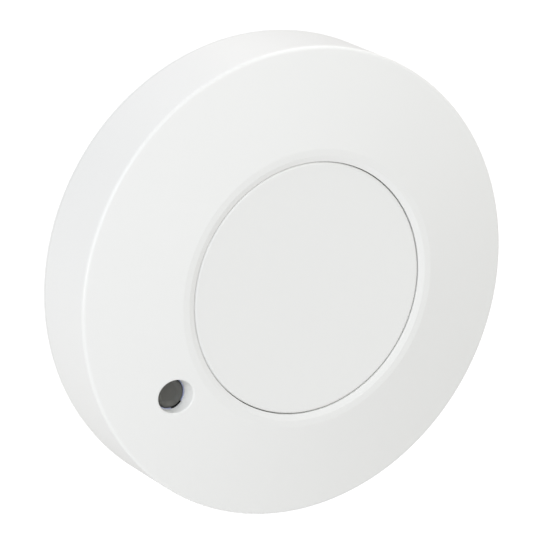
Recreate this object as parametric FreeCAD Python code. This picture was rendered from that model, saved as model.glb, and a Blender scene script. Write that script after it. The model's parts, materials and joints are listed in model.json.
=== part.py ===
import FreeCAD, Part
import math
import os

# A round presence sensor that twists onto a wall plate. Lengths are in millimetres, angles in degrees.
# The wall is the plane Y = 0, the sensor's front looks along -Y and +Z is up. The origin is the centre
# of the plate's back. "Depth" is the distance in front of the wall, and angles run from +X towards +Z.

# Outer form of the front cover
cover_radius = 62.0
cover_wall = 2.0
front_wall = 2.0
rim_round = 1.1
dome_width = 25.3           # from the side wall in to the ridge
dome_rise = 5.65            # from the sharp corner of the side wall up to the ridge
dome_bulge = 0.17           # how far the domed ring stands proud of a straight cone
ridge_width = 1.8
band_width = 1.55           # from the ridge in to the opening for the centre plate
band_drop = 0.5             # the band inside the ridge falls this far towards the centre plate
collar_wall = 1.5
collar_height = 1.5

# Centre plate, which is pressed like a button
disc_gap = 0.3
disc_setback = 0.55         # its face lies this far behind the ridge
disc_thickness = 1.6
disc_round = 0.8
disc_travel = 0.6
skirt_wall = 1.5
skirt_height = 1.6
hook_inset = 3.95           # from the centre plate's edge to the middle of its hooks
hook_width = 4.0
hook_thickness = 1.6
hook_lip = 0.9
hook_lip_height = 0.8
hook_play = 0.3
hook_angles = (30.0, 150.0, 270.0)
stem_radius = 1.4

# Wall plate
plate_side_play = 0.7       # between the plate and the cover's side wall
plate_floor = 2.0
flange_inset = 0.3          # the flange's edge lies this far inside the cover's outside
flange_thickness = 1.2
flange_round = 0.4
cover_shadow_gap = 0.3      # between the flange and the cover's rear edge
pocket_inner_radius = 23.0
pocket_rim = 2.5            # between the pockets and the gasket's groove
pocket_depth = 0.8
rib_width = 1.6
rib_count = 8
cable_opening_width = 24.0
cable_opening_height = 20.0
cable_opening_round = 4.0
box_screw_spacing = 60.0
slot_width = 4.2
slot_length = 8.0
slot_land = 3.0             # solid plate left round each screw slot and hole
ceiling_hole_inset = 8.0    # from the bayonet's ring in to the middle of the ceiling holes
ceiling_screw_count = 4
ceiling_hole_radius = 2.1
gasket_inset = 3.3          # from the plate's edge to the gasket's groove
gasket_width = 3.0
gasket_depth = 1.0
gasket_play = 0.1

# Bayonet between the plate and the head
hook_ring_inset = 9.3       # from the plate's edge in to the ring's bore
hook_ring_wall = 2.0
hook_ring_height = 3.0
bayonet_count = 3
bayonet_angle = 90.0
bayonet_lug_span = 14.0
bayonet_reach = 2.0
plate_lug_thickness = 1.6
head_lug_thickness = 1.6
lug_play = 0.4              # along the axis, between the two sets of lugs
lug_side_play = 0.3         # across it
lug_floor_gap = 1.4
stop_span = 1.8
stop_play_angle = 0.5
stop_overlap_angle = 0.4
skirt_ring_wall = 1.6

# Terminal block and the contacts that feed the head
pole_count = 4
pole_pitch = 5.08
terminal_height = 8.2
terminal_length = 9.0
terminal_centre_z = 18.0
terminal_end_wall = 0.75
terminal_base = 1.4
terminal_wall = 1.6
terminal_slack = 0.1        # round each clamp in its cell
clamp_width = 3.6
clamp_height = 4.4
clamp_end_wall = 0.8
wire_hole_radius = 1.4
wire_hole_floor = 0.5
wire_lead_in = 0.3
terminal_screw_radius = 1.2
terminal_screw_lift = 0.84  # the screw's end stays this far from the wire hole's middle
terminal_head_radius = 1.6
terminal_head_height = 1.2
terminal_head_play = 0.2
driver_slot_width = 0.5
screw_play = 0.05
pilot_end_play = 0.4        # a screw's hole is this much deeper than the screw
contact_width = 3.0
contact_thickness = 0.4
contact_level = 4.6         # depth at which the strips leave the block
contact_rise = 4.0          # length of the sloping part
contact_tail = 1.6
tail_slope = 0.8
contact_root_gap = 0.05     # between a strip's end and its clamp
contact_ring_first = 29.0   # radius of the innermost contact, the others follow outwards
contact_ring_step = 3.0
contact_clearance = 0.3
track_thickness = 0.5
track_width = 2.2
track_span = 7.0
pin_radius = 0.5
pin_play = 0.05
pin_end = 0.4               # solder end in front of the board

# Rear cover of the head
head_clearance = 0.8
rear_floor = 1.6
rear_cover_play = 0.3
rim_lip_wall = 1.4
rim_lip_height = 1.6
cover_screw_angles = (30.0, 150.0, 270.0)
cover_post_radius = 3.2
cover_screw_radius = 1.4
cover_screw_head_radius = 2.6
cover_screw_head_height = 1.6
cover_screw_grip = 5.5      # thread in the post
standoff_inset = 8.0        # from the main board's edge to the middle of its screws
standoff_angles = (60.0, 180.0, 300.0)
standoff_radius = 2.8
standoff_height = 4.4
board_screw_radius = 1.0
board_screw_head_radius = 2.0
board_screw_head_height = 1.3
board_screw_grip = 3.2

# Main board and what stands on it
board_inset = 10.0          # from the inside of the cover's side wall to the board's edge
board_thickness = 1.6
post_notch_play = 0.5
front_space = 8.7           # from the main board to the ridge

# Inner frame, radar board and their parts
frame_rim = 2.0             # the frame reaches this far past the opening
frame_thickness = 1.4
frame_ledge = 2.0
frame_leg_inset = 2.0       # from the frame's edge to the middle of its legs
frame_leg_angles = (0.0, 120.0, 240.0)
frame_leg_radius = 2.2
frame_screw_radius = 0.9
frame_screw_head_radius = 1.8
frame_screw_head_height = 1.3
frame_screw_grip = 2.4
disc_to_frame = 2.6         # space for the return spring
clip_wall = 1.0
clip_overhang = 0.9
clip_thickness = 0.6
clip_play = 0.05
clip_span = 14.0
radar_board_inset = 5.0     # from the centre plate's hooks to the radar board's edge
radar_board_play = 0.3
radar_board_thickness = 1.0
radar_board_sink = 0.4      # how far the board lies in the frame
patch_width = 3.4
patch_height = 2.6
patch_thickness = 0.1
patch_pitch = 6.2
patch_outer_x = 13.0         # the outermost columns of patches, left and right
patch_inner_x = 5.6          # the column on the right that is nearest to the middle
patch_rows = 4
shield_size = 16.0
shield_height = 2.2
shield_wall = 0.3
chip_size = 6.5
chip_height = 0.9
header_length = 12.0
header_width = 4.0
header_height = 1.2
header_gap = 2.5            # between the shield and the header
header_pin_count = 8
header_pin_pitch = 1.27
header_pin_size = 0.4
header_pin_length = 1.4
socket_wall = 0.8
socket_gap = 0.2            # between the plug's body and the socket
socket_end_play = 0.3       # behind the ends of the pins

# Push switch and return spring
switch_angle = 210.0
switch_size = 6.0
switch_height = 3.4
switch_window_play = 0.5
plunger_radius = 1.5
plunger_height = 1.0        # that stands out of the switch
plunger_depth = 1.6         # that is inside it
plunger_play = 0.06
plunger_end_play = 0.2
stem_gap = 0.1
spring_side_gap = 0.4       # between the clips of the radar board and the spring
spring_width = 1.5
spring_thickness = 0.25
spring_arm_length = 10.0
spring_arm_flat = 1.4
spring_gap = 0.05
spring_arm_angles = (50.0, 170.0, 290.0)

# Lens and what lies behind it
lens_inset = 17.7           # from the cover's outside to the middle of the lens
lens_angle = 210.75
lens_recess = 3.3
mouth_radius = 4.5
mouth_round = 0.45
recess_base_radius = 4.35
lens_radius = 4.0
lens_thickness = 1.6
lens_crown = 0.35
lens_edge_round = 0.3
lens_play = 0.05
ring_setback = 0.25         # the light ring's face lies this far behind the lens's edge
ring_outer_radius = 4.95
ring_shelf = 0.7
ring_board_gap = 1.0
ring_notch_angle = 300.0
ring_notch_span = 44.0
ring_notch_width = 0.4
lens_tube_wall = 1.3
shroud_wall = 0.6
shroud_play = 0.1
shroud_end_gap = 0.1        # between the shroud and the lens
shroud_key_thickness = 0.5
shroud_key_play = 0.05      # round the key in the light ring's notch
shroud_key_end_play = 1.0   # degrees at each end of the key
light_sensor_size = 2.0
light_sensor_height = 0.7
led_size = 0.8
led_height = 0.5

# Parts of the main board, each placed by its distance from the board's edge and its angle
controller_inset = 7.0
controller_angle = 0.0
controller_size = 7.0
controller_height = 0.9
crystal_inset = 7.0
crystal_angle = 11.0
crystal_length = 3.2
crystal_width = 2.5
crystal_height = 0.8
radio_inset = 8.5
radio_angle = 330.0
radio_length = 18.0
radio_width = 12.0
radio_board_thickness = 0.8
radio_shield_length = 12.0
radio_shield_width = 10.0
radio_shield_height = 1.4
radio_shield_offset = 2.0
inductor_inset = 6.0
inductor_angle = 74.0
inductor_size = 7.0
inductor_height = 3.0
capacitor_gap = 2.6         # between the inner frame and the capacitors
capacitor_angles = (100.0, 112.0)
capacitor_radius = 3.15
capacitor_height = 4.5
converter_inset = 7.0
converter_angle = 88.0
converter_length = 4.0
converter_width = 5.0
converter_height = 1.4
small_part_inset = 3.5
small_part_length = 1.6
small_part_width = 0.8
small_part_height = 0.5
resistor_angles = (158.0, 163.0, 168.0, 190.0, 195.0, 228.0, 233.0, 238.0, 350.0, 354.0)
ceramic_angles = (128.0, 133.0, 138.0, 243.0, 248.0, 253.0, 285.0, 289.0, 18.0)
small_part_step = 3.0       # the second row of small parts lies this far inside the first

# Screw heads: the cross and the rounded edge, as shares of the head's radius and height
recess_length_share = 1.1
recess_width_share = 0.28
recess_depth_share = 0.55
head_round_share = 0.4

# How far a piece of a solid reaches into the next one, and how far a cut runs past a face
join_overlap = 0.5
cut_past = 1.0

# Distances from the axis that follow from the sizes above
ridge_outer_radius = cover_radius - dome_width
ridge_inner_radius = ridge_outer_radius - ridge_width
opening_radius = ridge_inner_radius - band_width
disc_radius = opening_radius - disc_gap
hook_radius = disc_radius - hook_inset
radar_board_radius = hook_radius - radar_board_inset
radar_seat_radius = radar_board_radius + radar_board_play
spring_inner_radius = radar_seat_radius + clip_wall + spring_side_gap
frame_outer_radius = opening_radius + frame_rim
frame_leg_distance = frame_outer_radius - frame_leg_inset
cover_inner_radius = cover_radius - cover_wall
plate_radius = cover_inner_radius - plate_side_play
flange_radius = cover_radius - flange_inset
gasket_outer_radius = plate_radius - gasket_inset
gasket_inner_radius = gasket_outer_radius - gasket_width
pocket_outer_radius = gasket_inner_radius - pocket_rim
hook_ring_inner_radius = plate_radius - hook_ring_inset
hook_web_radius = hook_ring_inner_radius + hook_ring_wall
plate_lug_radius = hook_web_radius + bayonet_reach
skirt_ring_inner = plate_lug_radius + lug_side_play
ceiling_hole_distance = hook_ring_inner_radius - ceiling_hole_inset
board_radius = cover_inner_radius - board_inset
standoff_distance = board_radius - standoff_inset
lens_distance = cover_radius - lens_inset
capacitor_distance = frame_outer_radius + capacitor_gap + capacitor_radius

# Depths that follow from the sizes above, from the wall to the front
terminal_front = plate_floor + terminal_height
rear_cover_back = terminal_front + head_clearance
rear_cover_front = rear_cover_back + rear_floor
board_back = rear_cover_front + standoff_height
board_front = board_back + board_thickness
ridge_depth = board_front + front_space
corner_depth = ridge_depth - dome_rise
band_depth = ridge_depth - band_drop
disc_front = ridge_depth - disc_setback
disc_back = disc_front - disc_thickness
frame_front = disc_back - disc_to_frame
frame_back = frame_front - frame_thickness
radar_back = frame_front - radar_board_sink
radar_front = radar_back + radar_board_thickness
cover_rear = flange_thickness + cover_shadow_gap
head_lug_back = plate_floor + lug_floor_gap
head_lug_front = head_lug_back + head_lug_thickness
plate_lug_back = head_lug_front + lug_play
plate_lug_front = plate_lug_back + plate_lug_thickness
switch_front = board_front + switch_height
plunger_front = switch_front + plunger_height
stem_end = plunger_front + stem_gap

AXIS = FreeCAD.Vector(0, 1, 0)
FORWARD = FreeCAD.Vector(0, -1, 0)
ORIGIN = FreeCAD.Vector(0, 0, 0)


def at(x, z, depth):
    return FreeCAD.Vector(x, -depth, z)


def polar(radius, angle, depth=0.0):
    a = math.radians(angle)
    return at(radius * math.cos(a), radius * math.sin(a), depth)


def place(shape, radius, angle):
    """Moves a piece made round the axis out to a circle, and turns it to face outwards."""
    moved = shape.copy()
    moved.rotate(ORIGIN, FORWARD, angle)
    moved.translate(polar(radius, angle))
    return moved


def round_bar(radius, back, front, centre=ORIGIN):
    base = FreeCAD.Vector(centre.x, -back, centre.z)
    return Part.makeCylinder(radius, front - back, base, FORWARD)


def round_tube(outer, inner, back, front, centre=ORIGIN):
    bore = round_bar(inner, back - cut_past, front + cut_past, centre)
    return round_bar(outer, back, front, centre).cut(bore)


def block(x_low, x_high, z_low, z_high, back, front):
    corner = FreeCAD.Vector(x_low, -front, z_low)
    return Part.makeBox(x_high - x_low, front - back, z_high - z_low, corner)


def centred_block(width, height, back, front, x=0.0, z=0.0):
    return block(x - width / 2, x + width / 2, z - height / 2, z + height / 2, back, front)


def ring_sector(inner, outer, back, front, middle, span):
    """A stretch of a ring, from back to front in depth, centred on an angle."""
    start, end = middle - span / 2, middle + span / 2
    edges = [
        Part.Arc(polar(outer, start, back), polar(outer, middle, back), polar(outer, end, back)).toShape(),
        Part.makeLine(polar(outer, end, back), polar(inner, end, back)),
        Part.Arc(polar(inner, end, back), polar(inner, middle, back), polar(inner, start, back)).toShape(),
        Part.makeLine(polar(inner, start, back), polar(outer, start, back)),
    ]
    return Part.Face(Part.Wire(edges)).extrude(FORWARD * (front - back))


def turned(edges):
    return Part.Face(Part.Wire(edges)).revolve(ORIGIN, AXIS, 360)


def turned_outline(points):
    corners = [at(radius, 0, depth) for radius, depth in points]
    return turned(Part.makePolygon(corners + corners[:1]).Edges)


def fused(shapes):
    return shapes[0].fuse(shapes[1:]).removeSplitter() if len(shapes) > 1 else shapes[0]


def edges_at(shape, depth, radius):
    """The circular edges of a turned shape that lie at one depth and radius."""
    found = []
    for edge in shape.Edges:
        if edge.Degenerated or edge.Curve.TypeId != "Part::GeomCircle":
            continue
        if abs(edge.Curve.Center.y + depth) < 1e-4 and abs(edge.Curve.Radius - radius) < 1e-4:
            found.append(edge)
    return found


def cross_recess(radius, face, depth, towards_front):
    """The cross in a screw's head, cut from the face that a screwdriver meets."""
    back, front = (face - depth, face + cut_past) if towards_front else (face - cut_past, face + depth)
    long, short = radius * recess_length_share, radius * recess_width_share
    return fused([centred_block(long, short, back, front), centred_block(short, long, back, front)])


def screw_from_behind(shank, head, head_height, seat, grip_end):
    """A pan-head screw whose head lies behind the seat and whose thread runs to the front."""
    body = fused([round_bar(head, seat - head_height, seat), round_bar(shank, seat, grip_end)])
    body = body.makeFillet(head_height * head_round_share, edges_at(body, seat - head_height, head))
    return body.cut(cross_recess(head, seat - head_height, head_height * recess_depth_share, False))


def screw_from_front(shank, head, head_height, seat, grip_end):
    body = fused([round_bar(head, seat, seat + head_height), round_bar(shank, grip_end, seat)])
    body = body.makeFillet(head_height * head_round_share, edges_at(body, seat + head_height, head))
    return body.cut(cross_recess(head, seat + head_height, head_height * recess_depth_share, True))


def dome_edge(lift=0.0):
    """The arc of the domed ring in section, from the side wall's corner up to the ridge."""
    run, rise = cover_radius - ridge_outer_radius, dome_rise
    chord = math.hypot(run, rise)
    middle_radius = (cover_radius + ridge_outer_radius) / 2 + dome_bulge * rise / chord
    middle_depth = (corner_depth + ridge_depth) / 2 + dome_bulge * run / chord
    return Part.Arc(
        at(cover_radius, 0, corner_depth + lift),
        at(middle_radius, 0, middle_depth + lift),
        at(ridge_outer_radius, 0, ridge_depth + lift),
    )


def dome_depth(radius):
    """Depth of the domed ring's surface at a distance from the axis."""
    circle = dome_edge().toShape().Curve
    across = radius - circle.Center.x
    return -circle.Center.y + math.sqrt(circle.Radius ** 2 - across ** 2)


def outer_form(lift=0.0, rear=cover_rear):
    """The cover's outside as a solid, without its opening: side wall, domed ring, ridge and band."""
    corner = at(cover_radius, 0, corner_depth + lift)
    ridge_out = at(ridge_outer_radius, 0, ridge_depth + lift)
    ridge_in = at(ridge_inner_radius, 0, ridge_depth + lift)
    band_in = at(opening_radius, 0, band_depth + lift)
    points = [ridge_out, ridge_in, band_in, at(0, 0, band_depth + lift), at(0, 0, rear)]
    points += [at(cover_radius, 0, rear), corner]
    lines = [Part.makeLine(a, b) for a, b in zip(points, points[1:])]
    return turned([dome_edge(lift).toShape()] + lines)


def lens_level():
    """Depth of the lens's edge at the bottom of its recess."""
    return dome_depth(lens_distance) - lens_recess


def front_cover():
    outside = outer_form()
    outside = outside.makeFillet(rim_round, edges_at(outside, corner_depth, cover_radius))
    hollow = outer_form(-front_wall, cover_rear - cut_past).common(
        round_bar(cover_inner_radius, cover_rear - cut_past, ridge_depth)
    )
    shell = outside.cut(hollow)
    band_back = band_depth - front_wall
    collar = round_bar(opening_radius + collar_wall, band_back - collar_height, band_back + join_overlap)
    posts = [
        round_bar(cover_post_radius, rear_cover_front, ridge_depth, polar(board_radius, a))
        for a in cover_screw_angles
    ]
    inside = outer_form(-front_wall / 2, 0.0)
    posts = [post.common(inside) for post in posts]
    shell = shell.fuse([collar] + posts + [lens_tube(inside)])
    opening = round_bar(opening_radius, 0, ridge_depth + cut_past)
    shell = shell.cut([opening] + post_pilots() + [lens_recess_cut()])
    return round_mouth(shell.removeSplitter())


def post_pilots():
    deep = rear_cover_front + cover_screw_grip + pilot_end_play
    back = rear_cover_front - cut_past
    return [
        round_bar(cover_screw_radius + screw_play, back, deep, polar(board_radius, a))
        for a in cover_screw_angles
    ]


def lens_tube(inside):
    """The tube behind the cover that holds the light ring and the lens."""
    radius = ring_outer_radius + lens_play + lens_tube_wall
    tube = round_bar(radius, board_front + ring_board_gap, ridge_depth, polar(lens_distance, lens_angle))
    return tube.common(inside)


def lens_recess_cut():
    """The conical recess from the mouth down to the light ring, and the ring's seat behind it."""
    centre = polar(lens_distance, lens_angle)
    base, mouth = lens_level(), dome_depth(lens_distance)
    flare = (mouth_radius - recess_base_radius) / (mouth - base)
    front = mouth + lens_recess
    start = FreeCAD.Vector(centre.x, -base, centre.z)
    cone = Part.makeCone(
        recess_base_radius, recess_base_radius + flare * (front - base), front - base, start, FORWARD
    )
    seat = round_bar(ring_outer_radius + lens_play, board_front, base, centre)
    return seat.fuse(cone)


def round_mouth(shell):
    """Rounds the edge where the lens recess meets the domed ring."""
    centre = polar(lens_distance, lens_angle, dome_depth(lens_distance))
    near = mouth_radius * 1.6
    edges = [
        e for e in shell.Edges
        if (e.CenterOfMass - centre).Length < near and e.BoundBox.DiagonalLength > mouth_radius
        and e.BoundBox.YMin < centre.y + lens_recess / 2
    ]
    return shell.makeFillet(mouth_round, edges)


def centre_disc():
    plate = round_bar(disc_radius, disc_back, disc_front)
    skirt = round_tube(disc_radius, disc_radius - skirt_wall, disc_back - skirt_height, disc_back)
    body = plate.fuse(skirt).removeSplitter()
    body = body.makeFillet(disc_round, edges_at(body, disc_front, disc_radius))
    lip_back = frame_back - hook_play - hook_lip_height
    legs = []
    for angle in hook_angles:
        leg = centred_block(hook_thickness, hook_width, lip_back, disc_back + join_overlap)
        lip = block(0, hook_thickness / 2 + hook_lip, -hook_width / 2, hook_width / 2,
                    lip_back, lip_back + hook_lip_height)
        legs.append(place(leg.fuse(lip), hook_radius, angle))
    stem = round_bar(stem_radius, stem_end, disc_back + join_overlap, polar(hook_radius, switch_angle))
    return fused([body] + legs + [stem])


def slot(length, width, back, front):
    """A straight slot along X with round ends."""
    half = (length - width) / 2
    middle = centred_block(2 * half, width, back, front)
    ends = [round_bar(width / 2, back, front, at(x, 0, 0)) for x in (-half, half)]
    return fused([middle] + ends)


def screw_slots(length, width, back, front):
    """The two slots along X and the two along Z that fit a wall box."""
    shape = slot(length, width, back, front)
    found = []
    for angle in (0, 90, 180, 270):
        found.append(place(shape, box_screw_spacing / 2, angle))
    return found


def ceiling_holes(radius, back, front):
    step = 360.0 / ceiling_screw_count
    return [
        round_bar(radius, back, front, polar(ceiling_hole_distance, step * (i + 0.5)))
        for i in range(ceiling_screw_count)
    ]


def plate_pockets():
    """The shallow pockets in the plate's back, with ribs and lands left standing between them."""
    step = 360.0 / rib_count
    rib_angle = math.degrees(rib_width / pocket_inner_radius)
    back, front = -2 * cut_past, pocket_depth + cut_past
    lands = screw_slots(slot_length + 2 * slot_land, slot_width + 2 * slot_land, back, front)
    lands += ceiling_holes(ceiling_hole_radius + slot_land, back, front)
    pockets = []
    for i in range(rib_count):
        pocket = ring_sector(pocket_inner_radius, pocket_outer_radius, -cut_past, pocket_depth,
                             step * (i + 0.5), step - rib_angle)
        pockets.append(pocket.cut(lands))
    return pockets


def bayonet_angles():
    return [bayonet_angle + i * 360.0 / bayonet_count for i in range(bayonet_count)]


def wall_plate():
    flange = round_bar(flange_radius, 0, flange_thickness)
    flange = flange.makeFillet(flange_round, edges_at(flange, flange_thickness, flange_radius))
    floor = round_bar(plate_radius, 0, plate_floor)
    root = plate_floor - join_overlap
    web = round_tube(hook_web_radius, hook_ring_inner_radius, root, plate_floor + hook_ring_height)
    parts = [flange, floor, web]
    for angle in bayonet_angles():
        parts.append(ring_sector(hook_ring_inner_radius, hook_web_radius, plate_floor, plate_lug_front,
                                 angle, bayonet_lug_span))
        parts.append(ring_sector(hook_web_radius - join_overlap, plate_lug_radius, plate_lug_back,
                                 plate_lug_front, angle, bayonet_lug_span))
        stop = angle - bayonet_lug_span / 2 - stop_play_angle - stop_span / 2
        parts.append(ring_sector(hook_ring_inner_radius, plate_lug_radius, root, plate_lug_front,
                                 stop, stop_span))
        parts.append(ring_sector(hook_ring_inner_radius, plate_lug_radius, plate_lug_back, plate_lug_front,
                                 angle - bayonet_lug_span / 2 - stop_play_angle / 2,
                                 stop_play_angle + stop_overlap_angle))
    body = fused(parts)
    back, front = -cut_past, plate_floor + cut_past
    opening = centred_block(cable_opening_width, cable_opening_height, back, front)
    corners = [e for e in opening.Edges if abs(e.tangentAt(e.FirstParameter).y) > 0.99]
    opening = opening.makeFillet(cable_opening_round, corners)
    cuts = [opening] + plate_pockets()
    cuts.append(round_tube(gasket_outer_radius, gasket_inner_radius, back, gasket_depth))
    cuts += screw_slots(slot_length, slot_width, back, front)
    cuts += ceiling_holes(ceiling_hole_radius, back, front)
    return body.cut(cuts).removeSplitter()


def wall_gasket():
    return round_tube(gasket_outer_radius - gasket_play, gasket_inner_radius + gasket_play, 0, gasket_depth)


def pole_x(index):
    return (index - (pole_count - 1) / 2.0) * pole_pitch


def contact_radius(index):
    return contact_ring_first + index * contact_ring_step


def contact_z(index):
    return math.sqrt(contact_radius(index) ** 2 - pole_x(index) ** 2)


terminal_low = terminal_centre_z - terminal_length / 2
terminal_high = terminal_centre_z + terminal_length / 2
clamp_back = plate_floor + terminal_base
clamp_front = clamp_back + clamp_height
clamp_low = terminal_low + terminal_wall
clamp_high = terminal_high - terminal_wall
wire_depth = clamp_back + wire_hole_radius + wire_hole_floor


def along_z(radius, x, depth, z_low, z_high):
    return Part.makeCylinder(radius, z_high - z_low, at(x, z_low, depth), FreeCAD.Vector(0, 0, 1))


def terminal_housing():
    width = (pole_count - 1) * pole_pitch + clamp_width + 2 * (terminal_slack + terminal_end_wall)
    body = block(-width / 2, width / 2, terminal_low, terminal_high, plate_floor, terminal_front)
    cuts = []
    for index in range(pole_count):
        x = pole_x(index)
        half = clamp_width / 2 + terminal_slack
        cuts.append(block(x - half, x + half, clamp_low - terminal_slack, clamp_high + terminal_slack,
                          clamp_back - terminal_slack, clamp_front + terminal_slack))
        centre = at(x, terminal_centre_z, 0)
        head_hole = terminal_head_radius + terminal_head_play
        cuts.append(round_bar(head_hole, clamp_front, terminal_front + cut_past, centre))
        funnel = wire_hole_radius + wire_lead_in
        cuts.append(along_z(funnel, x, wire_depth, terminal_low - cut_past, clamp_low))
        slit = contact_width / 2 + terminal_slack
        cuts.append(block(x - slit, x + slit, clamp_high, terminal_high + cut_past,
                          contact_level - contact_thickness / 2 - terminal_slack,
                          contact_level + contact_thickness / 2 + terminal_slack))
    return body.cut(cuts)


def terminal_clamps():
    clamps = []
    for index in range(pole_count):
        x = pole_x(index)
        cage = block(x - clamp_width / 2, x + clamp_width / 2, clamp_low, clamp_high, clamp_back, clamp_front)
        hole = along_z(wire_hole_radius, x, wire_depth, clamp_low - cut_past, clamp_high - clamp_end_wall)
        thread = round_bar(terminal_screw_radius + screw_play, wire_depth, clamp_front + cut_past,
                           at(x, terminal_centre_z, 0))
        clamps.append(cage.cut([hole, thread]))
    return Part.makeCompound(clamps)


def terminal_screws():
    screws = []
    for index in range(pole_count):
        centre = at(pole_x(index), terminal_centre_z, 0)
        seat = clamp_front + terminal_slack
        shank = round_bar(terminal_screw_radius, wire_depth + terminal_screw_lift, seat)
        head = round_bar(terminal_head_radius, seat, seat + terminal_head_height)
        screw = shank.fuse(head).removeSplitter()
        slot_floor = seat + terminal_head_height / 2
        driver_slot = centred_block(3 * terminal_head_radius, driver_slot_width, slot_floor,
                                    seat + 2 * terminal_head_height)
        screw = screw.cut(driver_slot)
        screw.translate(centre)
        screws.append(screw)
    return Part.makeCompound(screws)


def strip(points, x, width, thickness):
    """A bent strip of sheet metal that follows points of (z, depth), with rounded bends."""
    parts = []
    for (z0, d0), (z1, d1) in zip(points, points[1:]):
        length = math.hypot(z1 - z0, d1 - d0)
        across_z, across_d = -(d1 - d0) / length * thickness / 2, (z1 - z0) / length * thickness / 2
        corners = [
            at(x - width / 2, z0 + across_z, d0 + across_d), at(x - width / 2, z1 + across_z, d1 + across_d),
            at(x - width / 2, z1 - across_z, d1 - across_d), at(x - width / 2, z0 - across_z, d0 - across_d),
        ]
        face = Part.Face(Part.makePolygon(corners + corners[:1]))
        parts.append(face.extrude(FreeCAD.Vector(width, 0, 0)))
    for z, depth in points[1:-1]:
        start = at(x - width / 2, z, depth)
        parts.append(Part.makeCylinder(thickness / 2, width, start, FreeCAD.Vector(1, 0, 0)))
    return fused(parts)


def track_face():
    """Depth of the tracks' faces, towards the wall."""
    return rear_cover_back - track_thickness


def contact_springs():
    strips = []
    for index in range(pole_count):
        crown_z = contact_z(index)
        crown = track_face() - contact_clearance - contact_thickness / 2
        points = [
            (clamp_high + contact_root_gap, contact_level),
            (crown_z - contact_rise, contact_level),
            (crown_z, crown),
            (crown_z + contact_tail, crown - contact_tail * tail_slope),
        ]
        strips.append(strip(points, pole_x(index), contact_width, contact_thickness))
    return Part.makeCompound(strips)


def contact_tracks():
    """Flat tracks on the rear cover's back, each with a pin through the cover to the main board."""
    tracks = []
    for index in range(pole_count):
        angle = math.degrees(math.atan2(contact_z(index), pole_x(index)))
        radius = contact_radius(index)
        pad = ring_sector(radius - track_width / 2, radius + track_width / 2, track_face(),
                          rear_cover_back, angle, track_span)
        pin = round_bar(pin_radius, track_face(), board_front + pin_end, polar(radius, angle))
        tracks.append(pad.fuse(pin).removeSplitter())
    return Part.makeCompound(tracks)


def pin_holes(back, front):
    return [
        round_bar(pin_radius + pin_play, back, front, at(pole_x(i), contact_z(i), 0))
        for i in range(pole_count)
    ]


def rear_cover():
    radius = cover_inner_radius - rear_cover_play
    root = rear_cover_front - join_overlap
    floor = round_bar(radius, rear_cover_back, rear_cover_front)
    lip = round_tube(radius, radius - rim_lip_wall, root, rear_cover_front + rim_lip_height)
    skirt = round_tube(skirt_ring_inner + skirt_ring_wall, skirt_ring_inner, head_lug_back,
                       rear_cover_back + join_overlap)
    parts = [floor, lip, skirt]
    for angle in bayonet_angles():
        parts.append(ring_sector(hook_web_radius + lug_side_play, skirt_ring_inner + join_overlap,
                                 head_lug_back, head_lug_front, angle, bayonet_lug_span))
    for angle in standoff_angles:
        parts.append(round_bar(standoff_radius, root, board_back, polar(standoff_distance, angle)))
    body = fused(parts)
    back, front = rear_cover_back - cut_past, rear_cover_front + cut_past
    cuts = pin_holes(back, front)
    for angle in cover_screw_angles:
        cuts.append(round_bar(cover_screw_radius + screw_play, back, front, polar(board_radius, angle)))
    deep = board_back - board_screw_grip - pilot_end_play
    for angle in standoff_angles:
        cuts.append(round_bar(board_screw_radius + screw_play, deep, board_back + cut_past,
                              polar(standoff_distance, angle)))
    return body.cut(cuts)


def cover_screws():
    end = rear_cover_front + cover_screw_grip
    screw = screw_from_behind(cover_screw_radius, cover_screw_head_radius, cover_screw_head_height,
                              rear_cover_back, end)
    return Part.makeCompound([place(screw, board_radius, a) for a in cover_screw_angles])


def board_screws():
    screw = screw_from_front(board_screw_radius, board_screw_head_radius, board_screw_head_height,
                             board_front, board_back - board_screw_grip)
    return Part.makeCompound([place(screw, standoff_distance, a) for a in standoff_angles])


def frame_screws():
    screw = screw_from_behind(frame_screw_radius, frame_screw_head_radius, frame_screw_head_height,
                              board_back, board_front + frame_screw_grip)
    return Part.makeCompound([place(screw, frame_leg_distance, a) for a in frame_leg_angles])


def main_board():
    board = round_bar(board_radius, board_back, board_front)
    back, front = board_back - cut_past, board_front + cut_past
    cuts = pin_holes(back, front)
    for angle in cover_screw_angles:
        cuts.append(round_bar(cover_post_radius + post_notch_play, back, front, polar(board_radius, angle)))
    for angle in standoff_angles:
        cuts.append(round_bar(board_screw_radius + screw_play, back, front, polar(standoff_distance, angle)))
    for angle in frame_leg_angles:
        cuts.append(round_bar(frame_screw_radius + screw_play, back, front, polar(frame_leg_distance, angle)))
    return board.cut(cuts)


def inner_frame():
    seat = radar_seat_radius
    parts = [round_tube(frame_outer_radius, seat, frame_back, frame_front)]
    parts.append(round_tube(seat + join_overlap, seat - frame_ledge, frame_back, radar_back))
    clip_back = radar_front + clip_play
    clip_front = clip_back + clip_thickness
    for angle in frame_leg_angles:
        parts.append(round_bar(frame_leg_radius, board_front, frame_back + join_overlap,
                               polar(frame_leg_distance, angle)))
        parts.append(ring_sector(seat, seat + clip_wall, frame_front - join_overlap, clip_front,
                                 angle, clip_span))
        parts.append(ring_sector(seat - clip_overhang, seat + join_overlap, clip_back, clip_front,
                                 angle, clip_span))
    body = fused(parts)
    cuts = []
    back, front = frame_back - cut_past, frame_front + cut_past
    for angle in hook_angles:
        window = centred_block(hook_thickness + 2 * hook_play, hook_width + 2 * hook_play, back, front)
        cuts.append(place(window, hook_radius, angle))
    opening = switch_size + 2 * switch_window_play
    cuts.append(place(centred_block(opening, opening, back, front), hook_radius, switch_angle))
    deep = board_front + frame_screw_grip + pilot_end_play
    for angle in frame_leg_angles:
        cuts.append(round_bar(frame_screw_radius + screw_play, board_front - cut_past, deep,
                              polar(frame_leg_distance, angle)))
    return body.cut(cuts)


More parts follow.
